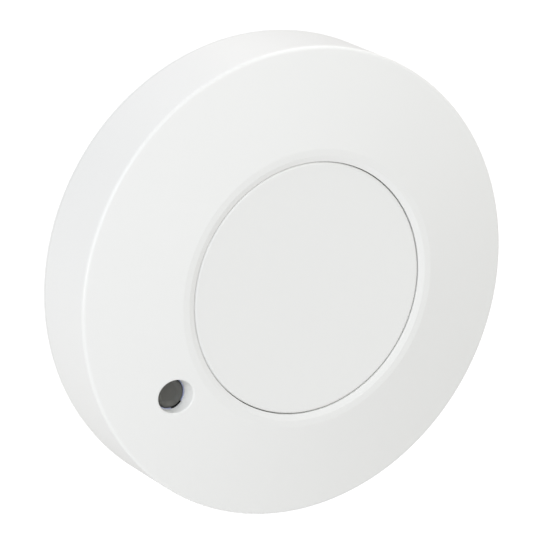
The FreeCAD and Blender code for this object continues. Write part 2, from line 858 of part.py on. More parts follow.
def radar_board():
    return round_bar(radar_board_radius, radar_back, radar_front)


def antenna_patches():
    columns = (-patch_outer_x, patch_pitch - patch_outer_x, patch_inner_x, patch_outer_x)
    patches = []
    for x in columns:
        for row in range(patch_rows):
            z = (row - (patch_rows - 1) / 2.0) * patch_pitch
            front = radar_front + patch_thickness
            patches.append(centred_block(patch_width, patch_height, radar_front, front, x, z))
    return Part.makeCompound(patches)


def radar_shield():
    can = centred_block(shield_size, shield_size, radar_back - shield_height, radar_back)
    inside = shield_size - 2 * shield_wall
    back = radar_back - shield_height + shield_wall
    return can.cut(centred_block(inside, inside, back, radar_back + cut_past))


def radar_chip():
    return centred_block(chip_size, chip_size, radar_back - chip_height, radar_back)


header_offset_z = -(shield_size / 2 + header_gap + header_width / 2)
header_back = radar_back - header_height
pin_reach = header_back - header_pin_length


def header_body():
    return centred_block(header_length, header_width, header_back, radar_back, 0, header_offset_z)


def header_pins():
    pins = []
    for row in (-0.5, 0.5):
        for i in range(header_pin_count):
            x = (i - (header_pin_count - 1) / 2.0) * header_pin_pitch
            z = header_offset_z + row * header_pin_pitch
            pins.append(centred_block(header_pin_size, header_pin_size, pin_reach, header_back, x, z))
    return Part.makeCompound(pins)


def header_socket():
    top = header_back - socket_gap
    body = centred_block(header_length, header_width, board_front, top, 0, header_offset_z)
    cavity = centred_block(header_length - 2 * socket_wall, header_width - 2 * socket_wall,
                           pin_reach - socket_end_play, top + cut_past, 0, header_offset_z)
    return body.cut(cavity)


def on_board(width, length, height, inset, angle):
    """A flat part on the main board, with its width along the radius and its middle inset from the edge."""
    part = centred_block(width, length, board_front, board_front + height)
    return place(part, board_radius - inset, angle)


def microcontroller():
    return on_board(controller_size, controller_size, controller_height, controller_inset, controller_angle)


def crystal():
    return on_board(crystal_width, crystal_length, crystal_height, crystal_inset, crystal_angle)


def radio_board():
    return on_board(radio_width, radio_length, radio_board_thickness, radio_inset, radio_angle)


def radio_shield():
    base = board_front + radio_board_thickness
    can = centred_block(radio_shield_width, radio_shield_length, base, base + radio_shield_height,
                        0, radio_shield_offset)
    return place(can, board_radius - radio_inset, radio_angle)


def supply_inductor():
    return on_board(inductor_size, inductor_size, inductor_height, inductor_inset, inductor_angle)


def supply_controller():
    return on_board(converter_width, converter_length, converter_height, converter_inset, converter_angle)


def supply_capacitors():
    can = round_bar(capacitor_radius, board_front, board_front + capacitor_height)
    return Part.makeCompound([place(can, capacitor_distance, a) for a in capacitor_angles])


def small_parts(angles):
    """Two rows of small chip parts near the board's edge."""
    rows = []
    for inset in (small_part_inset, small_part_inset + small_part_step):
        rows += [on_board(small_part_length, small_part_width, small_part_height, inset, a) for a in angles]
    return Part.makeCompound(rows)


def chip_resistors():
    return small_parts(resistor_angles)


def chip_capacitors():
    return small_parts(ceramic_angles)


def light_sensor():
    front = board_front + light_sensor_height
    sensor = centred_block(light_sensor_size, light_sensor_size, board_front, front)
    return place(sensor, lens_distance, lens_angle)


def led_offset():
    return (shroud_outer_radius() + ring_outer_radius) / 2


def status_leds():
    centre = polar(lens_distance, lens_angle)
    lamps = []
    for side in (-1, 1):
        lamp = centred_block(led_size, led_size, board_front, board_front + led_height)
        lamp.translate(centre + FreeCAD.Vector(side * led_offset(), 0, 0))
        lamps.append(lamp)
    return Part.makeCompound(lamps)


def lens_back():
    return lens_level() - lens_thickness


def shroud_outer_radius():
    return lens_radius - ring_shelf - shroud_play


def ring_front():
    return lens_level() - ring_setback


def shroud_key_back():
    return lens_back() - shroud_end_gap - shroud_key_thickness


def light_shroud():
    """A black tube round the light sensor, with a key that reaches into the light ring's notch."""
    outer = shroud_outer_radius()
    top = lens_back() - shroud_end_gap
    tube = round_tube(outer, outer - shroud_wall, board_front, top)
    span = ring_notch_span - 2 * shroud_key_end_play
    reach = lens_radius + lens_play + ring_notch_width - shroud_key_play
    tongue = ring_sector(outer - shroud_wall, reach, shroud_key_back(), top, ring_notch_angle, span)
    lip = ring_sector(lens_radius + lens_play, reach, shroud_key_back(), ring_front(), ring_notch_angle, span)
    shroud = tube.fuse([tongue, lip]).removeSplitter()
    shroud.translate(polar(lens_distance, lens_angle))
    return shroud


def light_ring():
    """The translucent ring that carries the lens and lights up round it."""
    centre = polar(lens_distance, lens_angle)
    front = ring_front()
    body = round_bar(ring_outer_radius, board_front + ring_board_gap, front, centre)
    bore = round_bar(lens_radius - ring_shelf, 0, ridge_depth, centre)
    seat = round_bar(lens_radius + lens_play, lens_back(), ridge_depth, centre)
    body = body.cut([bore, seat])
    notch_radius = lens_radius + lens_play + ring_notch_width
    relief = ring_sector(lens_radius / 2, notch_radius, shroud_key_back() - shroud_key_play, ridge_depth,
                         ring_notch_angle, ring_notch_span)
    relief.translate(centre)
    return body.cut(relief)


def lens():
    """A smoked disc with a slightly domed face."""
    ball_radius = (lens_radius ** 2 + lens_crown ** 2) / (2 * lens_crown)
    front = lens_level() + lens_crown
    ball = Part.makeSphere(ball_radius, at(0, 0, front - ball_radius))
    body = round_bar(lens_radius, lens_back(), front).common(ball)
    body = body.makeFillet(lens_edge_round, edges_at(body, lens_level(), lens_radius))
    body.translate(polar(lens_distance, lens_angle))
    return body


def switch_body():
    body = centred_block(switch_size, switch_size, board_front, switch_front)
    bore_back = switch_front - plunger_depth - disc_travel - plunger_end_play
    bore = round_bar(plunger_radius + plunger_play, bore_back, switch_front + cut_past)
    return place(body.cut(bore), hook_radius, switch_angle)


def switch_plunger():
    back = switch_front - plunger_depth
    return round_bar(plunger_radius, back, plunger_front, polar(hook_radius, switch_angle))


def return_spring():
    """A stamped ring on the frame with three sprung arms that reach up to the centre plate."""
    outer = spring_inner_radius + spring_width
    parts = [round_tube(outer, spring_inner_radius, frame_front, frame_front + spring_thickness)]
    low, high = frame_front + spring_thickness / 2, disc_back - spring_gap - spring_thickness / 2
    for angle in spring_arm_angles:
        points = [(0.0, low), (spring_arm_length - spring_arm_flat, high), (spring_arm_length, high)]
        arm = strip(points, 0.0, spring_width, spring_thickness)
        parts.append(place(arm, (outer + spring_inner_radius) / 2, angle))
    return fused(parts)


PIECES = [
    wall_plate, wall_gasket, terminal_housing, terminal_clamps, terminal_screws, contact_springs,
    front_cover, rear_cover, cover_screws, contact_tracks, main_board, board_screws,
    inner_frame, frame_screws, radar_board, antenna_patches, radar_shield, radar_chip,
    header_body, header_pins, header_socket, microcontroller, crystal, radio_board, radio_shield,
    supply_controller, supply_inductor, supply_capacitors, chip_resistors, chip_capacitors,
    light_sensor, status_leds, light_shroud, light_ring, lens, switch_body, return_spring,
    centre_disc, switch_plunger,
]

os.makedirs("parts", exist_ok=True)
for make in PIECES:
    shape = make()
    if not shape.isValid():
        print("not valid:", make.__name__)
    shape.exportStep("parts/" + make.__name__ + ".step")
    print(make.__name__, len(shape.Solids), round(shape.Volume, 2))
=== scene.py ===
# %% [markdown]
# A round presence sensor for a wall or a ceiling. A white head twists onto a flat wall plate. The head's
# cover is a shallow dome with a raised ring, in its middle sits a plate that is pressed like a button, and
# at the lower left a small smoked lens lies in a deep recess.
#
# The construction, with every piece at its real size, comes in as a fixed frame. This lesson gives it its
# looks: finer turned shells, the small details of the boards, and a finish for every surface. Lengths are in
# metres. The wall is the plane Y = 0, the front looks along -Y and +Z is up, so a "depth" is -Y.

# %% Load the frame
import json
import math

import bmesh
import bpy
from mathutils import Matrix, Vector


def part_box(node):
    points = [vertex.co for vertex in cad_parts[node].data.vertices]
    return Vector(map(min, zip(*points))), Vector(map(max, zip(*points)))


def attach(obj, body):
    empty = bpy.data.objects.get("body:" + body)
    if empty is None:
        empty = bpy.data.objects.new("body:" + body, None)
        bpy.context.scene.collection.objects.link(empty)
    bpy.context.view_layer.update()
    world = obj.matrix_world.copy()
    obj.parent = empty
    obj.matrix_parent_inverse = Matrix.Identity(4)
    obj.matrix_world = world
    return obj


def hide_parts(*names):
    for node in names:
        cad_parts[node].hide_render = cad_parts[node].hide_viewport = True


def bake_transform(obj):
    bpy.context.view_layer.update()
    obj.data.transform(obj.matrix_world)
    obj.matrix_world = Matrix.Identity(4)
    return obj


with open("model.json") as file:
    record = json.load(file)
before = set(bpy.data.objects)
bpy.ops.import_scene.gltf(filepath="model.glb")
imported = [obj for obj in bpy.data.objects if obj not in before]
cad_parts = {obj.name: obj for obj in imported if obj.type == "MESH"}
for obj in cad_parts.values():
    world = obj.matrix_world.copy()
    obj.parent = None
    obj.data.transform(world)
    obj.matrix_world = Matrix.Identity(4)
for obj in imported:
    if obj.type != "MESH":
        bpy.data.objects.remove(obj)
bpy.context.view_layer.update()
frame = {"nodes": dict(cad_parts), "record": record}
nodes = frame["nodes"]
scene = bpy.context.scene

# %% [markdown]
# The camera stands where the photographer's did: to the left of the sensor and a little above it, far away
# with a long lens, which keeps the circles close to true ellipses. The line of sight passes a few millimetres
# beside the sensor's axis, so the place is given by the angles, the distance and two small side steps.

# %% Camera
MM = 0.001
PHOTO_SIDE = 540
FOCAL_PIXELS = 3700.0
SENSOR_WIDTH = 36.0
AZIMUTH = math.radians(-30.45)
ELEVATION = math.radians(17.38)
DISTANCE = 945.1 * MM
LOOK_AT = Vector((0, -21.8 * MM, 0))
STEP_RIGHT = -7.207 * MM
STEP_UP = 3.552 * MM
CLIP_RANGE = (0.05, 20.0)


def make_camera():
    back = Vector((math.sin(AZIMUTH) * math.cos(ELEVATION), -math.cos(AZIMUTH) * math.cos(ELEVATION),
                   math.sin(ELEVATION)))
    right = Vector((math.cos(AZIMUTH), math.sin(AZIMUTH), 0))
    up = back.cross(right)
    data = bpy.data.cameras.new("photo_camera")
    data.sensor_width = SENSOR_WIDTH
    data.lens = FOCAL_PIXELS * SENSOR_WIDTH / PHOTO_SIDE
    data.clip_start, data.clip_end = CLIP_RANGE
    camera = bpy.data.objects.new("photo_camera", data)
    camera.location = LOOK_AT + right * STEP_RIGHT + up * STEP_UP + back * DISTANCE
    camera.rotation_euler = (-back).to_track_quat("-Z", "Y").to_euler()
    scene.collection.objects.link(camera)
    scene.camera = camera
    return camera


camera = make_camera()
print("camera: lens %.1f mm at" % camera.data.lens, [round(x, 3) for x in camera.location])

# %% [markdown]
# White on white is the whole difficulty here. An even white dome of light fills the room, and soft panels add
# what gives the form away. Two stand at the left, where the side wall, the bright edges and the wall of the
# lens recess face, and three at the right keep the lower right from falling too far. Their strengths were
# found by lighting the scene with each panel alone and adding up the pictures, until the tones of the pressed
# plate, the domed ring, the side wall and the bright rim came out as in the photograph. The camera sees the
# dome and the floor brighter than the object does, as with a lit white sweep, and the "Standard" view keeps
# pure white white.

# %% Room, floor and light
ROOM_LIGHT = 0.5871
ROOM_SEEN = 1.05
FLOOR_DROP = 0.85
FLOOR_SIDE = 14.0
FLOOR_GLOW = 0.6
FLOOR_PAPER = (0.9, 0.9, 0.9, 1)
FLOOR_ROUGHNESS = 0.9
WHITE = (1, 1, 1, 1)
PANEL_DISTANCE = 1.6

PANELS = [
    # name, direction towards the panel (azimuth from -Y towards -X, elevation), side in metres, watts, colour
    ("front_left", (55, 25), 0.9, 6.684, (0.8, 0.87, 1.0)),
    ("left", (75, 0), 0.5, 4.516, (1.0, 0.97, 0.9)),
    ("front_right", (-30, 35), 0.9, 3.523, (1.0, 0.99, 0.86)),
    ("upper_right", (-90, 60), 0.9, 7.316, (0.98, 0.96, 1.0)),
    ("behind_right", (-140, 40), 1.2, 1.355, (1.0, 0.95, 0.85)),
]


def camera_only(tree, strength):
    """A value that is strength for the camera's own rays and zero for all others."""
    path = tree.nodes.new("ShaderNodeLightPath")
    product = tree.nodes.new("ShaderNodeMath")
    product.operation = "MULTIPLY"
    product.inputs[1].default_value = strength
    tree.links.new(path.outputs["Is Camera Ray"], product.inputs[0])
    return product.outputs[0]


def make_room():
    world = bpy.data.worlds.new("white_room")
    scene.world = world
    world.use_nodes = True
    tree = world.node_tree
    background = tree.nodes["Background"]
    background.inputs["Color"].default_value = WHITE
    total = tree.nodes.new("ShaderNodeMath")
    total.operation = "ADD"
    total.inputs[0].default_value = ROOM_LIGHT
    tree.links.new(camera_only(tree, ROOM_SEEN - ROOM_LIGHT), total.inputs[1])
    tree.links.new(total.outputs[0], background.inputs["Strength"])


def direction(azimuth, elevation):
    a, e = math.radians(azimuth), math.radians(elevation)
    return Vector((-math.sin(a) * math.cos(e), -math.cos(a) * math.cos(e), math.sin(e)))


def make_panel(name, towards, side, power, colour):
    data = bpy.data.lights.new("panel_" + name, "AREA")
    data.shape = "SQUARE"
    data.size = side
    data.energy = power
    data.color = colour
    panel = bpy.data.objects.new("panel_" + name, data)
    way = direction(*towards)
    panel.location = LOOK_AT + way * PANEL_DISTANCE
    panel.rotation_euler = way.to_track_quat("Z", "Y").to_euler()
    scene.collection.objects.link(panel)


def make_floor():
    bpy.ops.mesh.primitive_plane_add(size=FLOOR_SIDE, location=(0, 0, -FLOOR_DROP))
    floor = bpy.context.object
    floor.name = "floor"
    material = bpy.data.materials.new("floor_paper")
    material.use_nodes = True
    tree = material.node_tree
    shader = tree.nodes["Principled BSDF"]
    shader.inputs["Base Color"].default_value = FLOOR_PAPER
    shader.inputs["Roughness"].default_value = FLOOR_ROUGHNESS
    shader.inputs["Emission Color"].default_value = WHITE
    tree.links.new(camera_only(tree, FLOOR_GLOW), shader.inputs["Emission Strength"])
    floor.data.materials.append(material)


make_room()
for panel in PANELS:
    make_panel(*panel)
make_floor()
scene.view_settings.view_transform = "Standard"
print("room: %d panels, floor %.2f m below" % (len(PANELS), FLOOR_DROP))

# %% [markdown]
# Most of this sensor is turned: the cover, the pressed plate, the lens and the gasket are all one outline
# spun about an axis. A lathe made of Geometry Nodes does that once for all of them. It takes the outline as a
# row of points, lays a grid of points over it, and bends the grid round the axis. The sizes stay named
# inputs, and the outline is the only thing that differs from piece to piece.
#
# Two small helpers keep the node trees readable: one adds a node and fills or links its inputs in the same
# line, the other opens a new tree with named inputs.

# %% Helpers for node trees
TURN = 2 * math.pi


def add(tree, kind, inputs=None, **settings):
    """A node with its settings and inputs. An input that is given a socket is linked, any other is set."""
    node = tree.nodes.new(kind)
    for name, value in settings.items():
        setattr(node, name, value)
    for key, value in (inputs or {}).items():
        socket = node.inputs[key]
        if isinstance(value, bpy.types.NodeSocket):
            tree.links.new(value, socket)
        else:
            socket.default_value = value
    return node


def calc(tree, operation, *values):
    """A Math node, which returns its result."""
    return add(tree, "ShaderNodeMath", dict(enumerate(values)), operation=operation).outputs[0]


def new_tree(name, inputs, kind="GeometryNodeTree", outputs=(("Geometry", "NodeSocketGeometry"),)):
    tree = bpy.data.node_groups.new(name, kind)
    for label, socket in inputs:
        tree.interface.new_socket(label, in_out="INPUT", socket_type=socket)
    for label, socket in outputs:
        tree.interface.new_socket(label, in_out="OUTPUT", socket_type=socket)
    given = tree.nodes.new("NodeGroupInput")
    result = tree.nodes.new("NodeGroupOutput")
    return tree, given.outputs, result.inputs


def socket_ids(tree):
    return {item.name: item.identifier for item in tree.interface.items_tree if item.in_out == "INPUT"}


def finish_geometry(tree, geometry, material, result):
    """Every tree ends alike: smooth faces, real geometry in place of instances, and its material."""
    smooth = add(tree, "GeometryNodeSetShadeSmooth", {"Geometry": geometry})
    real = add(tree, "GeometryNodeRealizeInstances", {"Geometry": smooth.outputs[0]})
    dressed = add(tree, "GeometryNodeSetMaterial", {"Geometry": real.outputs[0], "Material": material})
    tree.links.new(dressed.outputs[0], result["Geometry"])


print("helpers for trees: add, calc, new_tree, socket_ids and finish_geometry")

# %% Helpers for meshes
SHARP_ANGLE = math.radians(38)
MERGE_DISTANCE = 1e-6


def mesh_object(name, points, edges=(), faces=()):
    mesh = bpy.data.meshes.new(name)
    mesh.from_pydata([tuple(p) for p in points], list(edges), list(faces))
    thing = bpy.data.objects.new(name, mesh)
    scene.collection.objects.link(thing)
    return thing


def run_tree(thing, tree, values):
    """Puts the tree on an object, sets its inputs and turns the result into the object's own plain mesh."""
    modifier = thing.modifiers.new(tree.name, "NODES")
    modifier.node_group = tree
    ids = socket_ids(tree)
    for name, value in values.items():
        modifier[ids[name]] = value
    bpy.context.view_layer.update()
    evaluated = thing.evaluated_get(bpy.context.evaluated_depsgraph_get())
    mesh = bpy.data.meshes.new_from_object(evaluated)
    thing.modifiers.remove(modifier)
    mesh.name = thing.name
    thing.data = mesh


def tidy_mesh(thing, change=None):
    """Merges what doubles up, runs a change on the mesh, turns all faces outwards and keeps crisp edges."""
    bm = bmesh.new()
    bm.from_mesh(thing.data)
    bmesh.ops.remove_doubles(bm, verts=bm.verts, dist=MERGE_DISTANCE)
    if change:
        change(bm)
    bmesh.ops.recalc_face_normals(bm, faces=bm.faces)
    for face in bm.faces:
        face.smooth = True
        face.material_index = 0
    open_edges = sum(1 for e in bm.edges if not e.is_manifold)
    finish = next(m for m in thing.data.materials if m)
    bm.to_mesh(thing.data)
    bm.free()
    thing.data.materials.clear()
    thing.data.materials.append(finish)
    thing.data.set_sharp_from_angle(angle=SHARP_ANGLE)
    print("  %s: %d faces, %d open edges" % (thing.name, len(thing.data.polygons), open_edges))
    return thing


def stand_for(thing, body, *replaced, slot=None):
    """The piece rides on its body and takes the place of CAD nodes. The slot argument is not used."""
    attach(thing, body)
    if replaced:
        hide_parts(*replaced)


print("helpers for meshes: mesh_object, run_tree, tidy_mesh and stand_for")

# %% The lathe
def make_lathe():
    tree, given, result = new_tree("lathe", [
        ("Outline", "NodeSocketGeometry"), ("Segments", "NodeSocketInt"), ("Start angle", "NodeSocketFloat"),
        ("Centre", "NodeSocketVector"), ("Material", "NodeSocketMaterial"),
    ])
    size = add(tree, "GeometryNodeAttributeDomainSize", {"Geometry": given["Outline"]})
    count = size.outputs["Point Count"]
    columns = calc(tree, "ADD", given["Segments"], 1)
    grid = add(tree, "GeometryNodeMeshGrid", {"Vertices X": columns, "Vertices Y": count})
    index = add(tree, "GeometryNodeInputIndex").outputs[0]
    row = calc(tree, "FLOORED_MODULO", index, count)
    column = calc(tree, "FLOOR", calc(tree, "DIVIDE", calc(tree, "ADD", index, 0.5), count))
    place = add(tree, "GeometryNodeInputPosition").outputs[0]
    sample = add(tree, "GeometryNodeSampleIndex", data_type="FLOAT_VECTOR", clamp=True)
    tree.links.new(given["Outline"], sample.inputs["Geometry"])
    tree.links.new(place, sample.inputs["Value"])
    tree.links.new(row, sample.inputs["Index"])
    outline = add(tree, "ShaderNodeSeparateXYZ", {0: sample.outputs[0]}).outputs
    share = calc(tree, "DIVIDE", column, given["Segments"])
    angle = calc(tree, "ADD", calc(tree, "MULTIPLY", share, TURN), given["Start angle"])
    x = calc(tree, "MULTIPLY", outline["X"], calc(tree, "COSINE", angle))
    z = calc(tree, "MULTIPLY", outline["X"], calc(tree, "SINE", angle))
    spun = add(tree, "ShaderNodeCombineXYZ", {"X": x, "Y": outline["Y"], "Z": z}).outputs[0]
    moved = add(tree, "ShaderNodeVectorMath", {0: spun, 1: given["Centre"]}, operation="ADD").outputs[0]
    bent = add(tree, "GeometryNodeSetPosition", {"Geometry": grid.outputs["Mesh"], "Position": moved})
    closed = add(tree, "GeometryNodeMergeByDistance", {"Geometry": bent.outputs[0],
                                                       "Distance": MERGE_DISTANCE})
    finish_geometry(tree, closed.outputs[0], given["Material"], result)
    return tree


def rounded(corners, steps=6, hold=0.12):
    """An outline from corners of (radius, depth, rounding). A rounded corner gets an arc, and a point held
    close to each end of it, so that the flat faces beside it stay flat when they are shaded smooth."""
    points = []
    for i, (radius, depth, rounding) in enumerate(corners):
        corner = Vector((radius, depth))
        if not rounding:
            points.append(corner)
            continue
        before = (Vector(corners[i - 1][:2]) - corner).normalized()
        after = (Vector(corners[(i + 1) % len(corners)][:2]) - corner).normalized()
        half = before.angle(after) / 2
        reach = rounding / math.tan(half)
        centre = corner + (before + after).normalized() * rounding / math.sin(half)
        start, end = corner + before * reach - centre, corner + after * reach - centre
        sweep = start.angle(end)
        points.append(corner + before * (reach + hold))
        for s in range(steps + 1):
            t = s / steps
            arm = (start * math.sin((1 - t) * sweep) + end * math.sin(t * sweep)) / math.sin(sweep)
            points.append(centre + arm)
        points.append(corner + after * (reach + hold))
    return points


def turned(name, outline, material, segments=360, centre=(0, 0, 0), start=0.0, closed=True, change=None):
    """A piece spun from an outline of (radius, depth) points in millimetres."""
    loop = list(outline) + ([outline[0]] if closed else [])
    thing = mesh_object(name, [(p[0] * MM, -p[1] * MM, 0) for p in loop])
    run_tree(thing, LATHE, {"Segments": segments, "Start angle": start, "Centre": centre,
                            "Material": material})
    return tidy_mesh(thing, change)


LATHE = make_lathe()
print("lathe ready with inputs", sorted(socket_ids(LATHE)))

# %% [markdown]
# Every surface gets a finish of its own, made from a few effects that many materials share. Moulded plastic
# has a fine, even grain from the spark-eroded tool, a slightly uneven gloss and a faint drift in tone. Rolled
# and turned metal has fine lines. A circuit board shows its copper under the green lacquer. Each effect is a
# group of nodes with named inputs, and each material sets its own sizes. They all read Object coordinates, so
# a pattern stays on its piece and keeps its real size.

# %% Shared effects
METRE = 1000.0
SURFACE_OUTPUTS = [
    ("Tone", "NodeSocketFloat"), ("Roughness", "NodeSocketFloat"), ("Normal", "NodeSocketVector"),
]
GRAIN_SHARE = 0.5
LINE_SHARE = 0.6
STAIN_SCALE = 900.0


def object_place(tree):
    return add(tree, "ShaderNodeTexCoord").outputs["Object"]


def noise(tree, place, scale, **inputs):
    """A noise between 0 and 1, with its scale in features to the metre."""
    return add(tree, "ShaderNodeTexNoise", {"Vector": place, "Scale": scale, **inputs}).outputs[0]


def bump_normal(tree, height):
    """The normal of a relief whose height is in millimetres."""
    return add(tree, "ShaderNodeBump", {"Strength": 1.0, "Distance": MM, "Height": height}).outputs[0]


def uneven_roughness(tree, given, fine, share, broad):
    """The roughness, varied by two noises: share is how much of the first is in their mix."""
    mixed = calc(tree, "ADD", calc(tree, "MULTIPLY", fine, share), calc(tree, "MULTIPLY", broad, 1 - share))
    uneven = calc(tree, "SUBTRACT", mixed, 0.5)
    return calc(tree, "ADD", given["Roughness"], calc(tree, "MULTIPLY", uneven, given["Spread"]))


def fill_surface_outputs(tree, result, tone, roughness, normal):
    tree.links.new(tone, result["Tone"])
    tree.links.new(roughness, result["Roughness"])
    tree.links.new(normal, result["Normal"])


def make_moulded_grain():
    """Fine tool texture: grain is the size of a bump in millimetres."""
    tree, given, result = new_tree("moulded_grain", [
        ("Grain", "NodeSocketFloat"), ("Bump", "NodeSocketFloat"), ("Roughness", "NodeSocketFloat"),
        ("Spread", "NodeSocketFloat"), ("Drift", "NodeSocketFloat"),
    ], "ShaderNodeTree", SURFACE_OUTPUTS)
    place = object_place(tree)
    fine = noise(tree, place, calc(tree, "DIVIDE", METRE, given["Grain"]), Detail=2.0, Roughness=0.6)
    broad = noise(tree, place, calc(tree, "DIVIDE", METRE, given["Drift"]), Detail=3.0, Roughness=0.5)
    rough = uneven_roughness(tree, given, fine, GRAIN_SHARE, broad)
    normal = bump_normal(tree, calc(tree, "MULTIPLY", fine, given["Bump"]))
    fill_surface_outputs(tree, result, broad, rough, normal)
    return tree


def make_drawn_lines():
    """Fine parallel lines, as on rolled strip or a turned screw: stretch says along which axes they run."""
    tree, given, result = new_tree("drawn_lines", [
        ("Line", "NodeSocketFloat"), ("Stretch", "NodeSocketVector"), ("Bump", "NodeSocketFloat"),
        ("Roughness", "NodeSocketFloat"), ("Spread", "NodeSocketFloat"),
    ], "ShaderNodeTree", SURFACE_OUTPUTS)
    place = object_place(tree)
    drawn = add(tree, "ShaderNodeVectorMath", {0: place, 1: given["Stretch"]}, operation="MULTIPLY")
    lines = noise(tree, drawn.outputs[0], calc(tree, "DIVIDE", METRE, given["Line"]), Detail=4.0)
    stains = noise(tree, place, STAIN_SCALE, Detail=2.0)
    rough = uneven_roughness(tree, given, lines, LINE_SHARE, stains)
    normal = bump_normal(tree, calc(tree, "MULTIPLY", lines, given["Bump"]))
    fill_surface_outputs(tree, result, stains, rough, normal)
    return tree


# %% The copper of a board
TRACK_FAMILIES = (("X", "Z", 1.0), ("Z", "X", 1.4))
TRACK_BRICKS = {
    "Mortar Size": 0.045, "Mortar Smooth": 0.1, "Brick Width": 6.0, "Row Height": 0.5,
    "Color1": (0, 0, 0, 1), "Color2": (0, 0, 0, 1), "Mortar": (1, 1, 1, 1),
}
TRACK_AREA_SCALE = 160.0
TRACK_AREA_LIMIT = 0.52
WEAVE_SIZE = 0.35
WEAVE_RELIEF = 0.001


def make_board_copper():
    """Copper under the lacquer of a board: two families of straight tracks, a mask and a slight relief."""
    tree, given, result = new_tree("board_copper", [
        ("Track", "NodeSocketFloat"), ("Relief", "NodeSocketFloat"),
    ], "ShaderNodeTree", [("Copper", "NodeSocketFloat"), ("Normal", "NodeSocketVector")])
    place = add(tree, "ShaderNodeSeparateXYZ", {0: object_place(tree)}).outputs
    masks = []
    for first, second, share in TRACK_FAMILIES:
        flat = add(tree, "ShaderNodeCombineXYZ", {"X": place[first], "Y": place[second]}).outputs[0]
        scale = calc(tree, "DIVIDE", METRE * share, given["Track"])
        tracks = add(tree, "ShaderNodeTexBrick", {"Vector": flat, "Scale": scale, **TRACK_BRICKS}).outputs[0]
        areas = noise(tree, flat, TRACK_AREA_SCALE * share, Detail=0.0)
        masks.append(calc(tree, "MULTIPLY", tracks, calc(tree, "GREATER_THAN", areas, TRACK_AREA_LIMIT)))
    copper = calc(tree, "MAXIMUM", *masks)
    weave = add(tree, "ShaderNodeTexChecker", {"Vector": object_place(tree),
                                               "Scale": METRE / WEAVE_SIZE}).outputs[1]
    relief = calc(tree, "MULTIPLY", copper, given["Relief"])
    height = calc(tree, "ADD", relief, calc(tree, "MULTIPLY", weave, WEAVE_RELIEF))
    tree.links.new(copper, result["Copper"])
    tree.links.new(bump_normal(tree, height), result["Normal"])
    return tree


MOULDED_GRAIN = make_moulded_grain()
DRAWN_LINES = make_drawn_lines()
BOARD_COPPER = make_board_copper()
print("effects:", MOULDED_GRAIN.name, DRAWN_LINES.name, BOARD_COPPER.name)

# %% [markdown]
# The finishes come next. A constant, such as metallic or the coat, is set on the shader itself, and only what
# changes over the surface is linked. The whites are a touch warm, as undyed plastic is. Satin plastic is
# neither matt nor glossy: it spreads a lamp's image so far that only edges and roundings light up.

# %% Finishes
FINISH = {}


def shade(colour, factor):
    return tuple(min(c * factor, 1.0) for c in colour[:3]) + (1.0,)


def new_finish(name, constants):
    material = bpy.data.materials.new(name)
    material.use_nodes = True
    tree = material.node_tree
    shader = tree.nodes["Principled BSDF"]
    for label, value in constants.items():
        shader.inputs[label].default_value = value
    FINISH[name] = material
    return tree, shader


def use_group(tree, group, values):
    effect = add(tree, "ShaderNodeGroup", node_tree=group)
    for label, value in values.items():
        effect.inputs[label].default_value = value
    return effect.outputs


def two_tones(tree, shader, colour, factor, contrast):
    mix = add(tree, "ShaderNodeMix", {"Factor": factor}, data_type="RGBA")
    mix.inputs["A"].default_value = shade(colour, 1.0 - contrast)
    mix.inputs["B"].default_value = shade(colour, 1.0 + contrast)
    tree.links.new(mix.outputs["Result"], shader.inputs["Base Color"])


def plastic(name, colour, roughness, grain=0.25, bump=0.004, spread=0.12, drift=25.0, contrast=0.01,
            **constants):
    tree, shader = new_finish(name, constants)
    effect = use_group(tree, MOULDED_GRAIN, {"Grain": grain, "Bump": bump, "Roughness": roughness,
                                             "Spread": spread, "Drift": drift})
    two_tones(tree, shader, colour, effect["Tone"], contrast)
    tree.links.new(effect["Roughness"], shader.inputs["Roughness"])
    tree.links.new(effect["Normal"], shader.inputs["Normal"])


def metal(name, colour, roughness, line=0.12, stretch=(1, 1, 0.05), bump=0.004, spread=0.25, contrast=0.08):
    tree, shader = new_finish(name, {"Metallic": 1.0})
    effect = use_group(tree, DRAWN_LINES, {"Line": line, "Stretch": stretch, "Bump": bump,
                                           "Roughness": roughness, "Spread": spread})
    two_tones(tree, shader, colour, effect["Tone"], contrast)
    tree.links.new(effect["Roughness"], shader.inputs["Roughness"])
    tree.links.new(effect["Normal"], shader.inputs["Normal"])


def board(name, lacquer, over_copper):
    tree, shader = new_finish(name, {"Roughness": 0.28, "Coat Weight": 0.4, "Coat Roughness": 0.12})
    effect = use_group(tree, BOARD_COPPER, {"Track": 1.2, "Relief": 0.03})
    mix = add(tree, "ShaderNodeMix", {"Factor": effect["Copper"]}, data_type="RGBA")
    mix.inputs["A"].default_value = lacquer
    mix.inputs["B"].default_value = over_copper
    tree.links.new(mix.outputs["Result"], shader.inputs["Base Color"])
    tree.links.new(effect["Normal"], shader.inputs["Normal"])


SATIN_WHITE = (0.93, 0.93, 0.913)
SATIN_SHINE = {"Specular IOR Level": 0.553}
plastic("cover_white", SATIN_WHITE, 0.32, contrast=0.006, **SATIN_SHINE)
plastic("plate_white", SATIN_WHITE, 0.32, contrast=0.006, **SATIN_SHINE)
plastic("base_white", (0.886, 0.886, 0.869), 0.5, grain=0.4, bump=0.008, contrast=0.012)
plastic("inner_grey", (0.3, 0.31, 0.32), 0.55, grain=0.4, bump=0.01, contrast=0.04)
plastic("gasket_rubber", (0.03, 0.03, 0.032), 0.85, grain=0.6, bump=0.03, contrast=0.15)
plastic("terminal_grey", (0.22, 0.24, 0.26), 0.45, contrast=0.03)
plastic("chip_black", (0.025, 0.025, 0.028), 0.6, grain=0.15, bump=0.006, contrast=0.1)
plastic("header_black", (0.02, 0.02, 0.02), 0.4, contrast=0.05)
plastic("ceramic_tan", (0.42, 0.33, 0.22), 0.35, grain=0.12, contrast=0.12, drift=1.5)
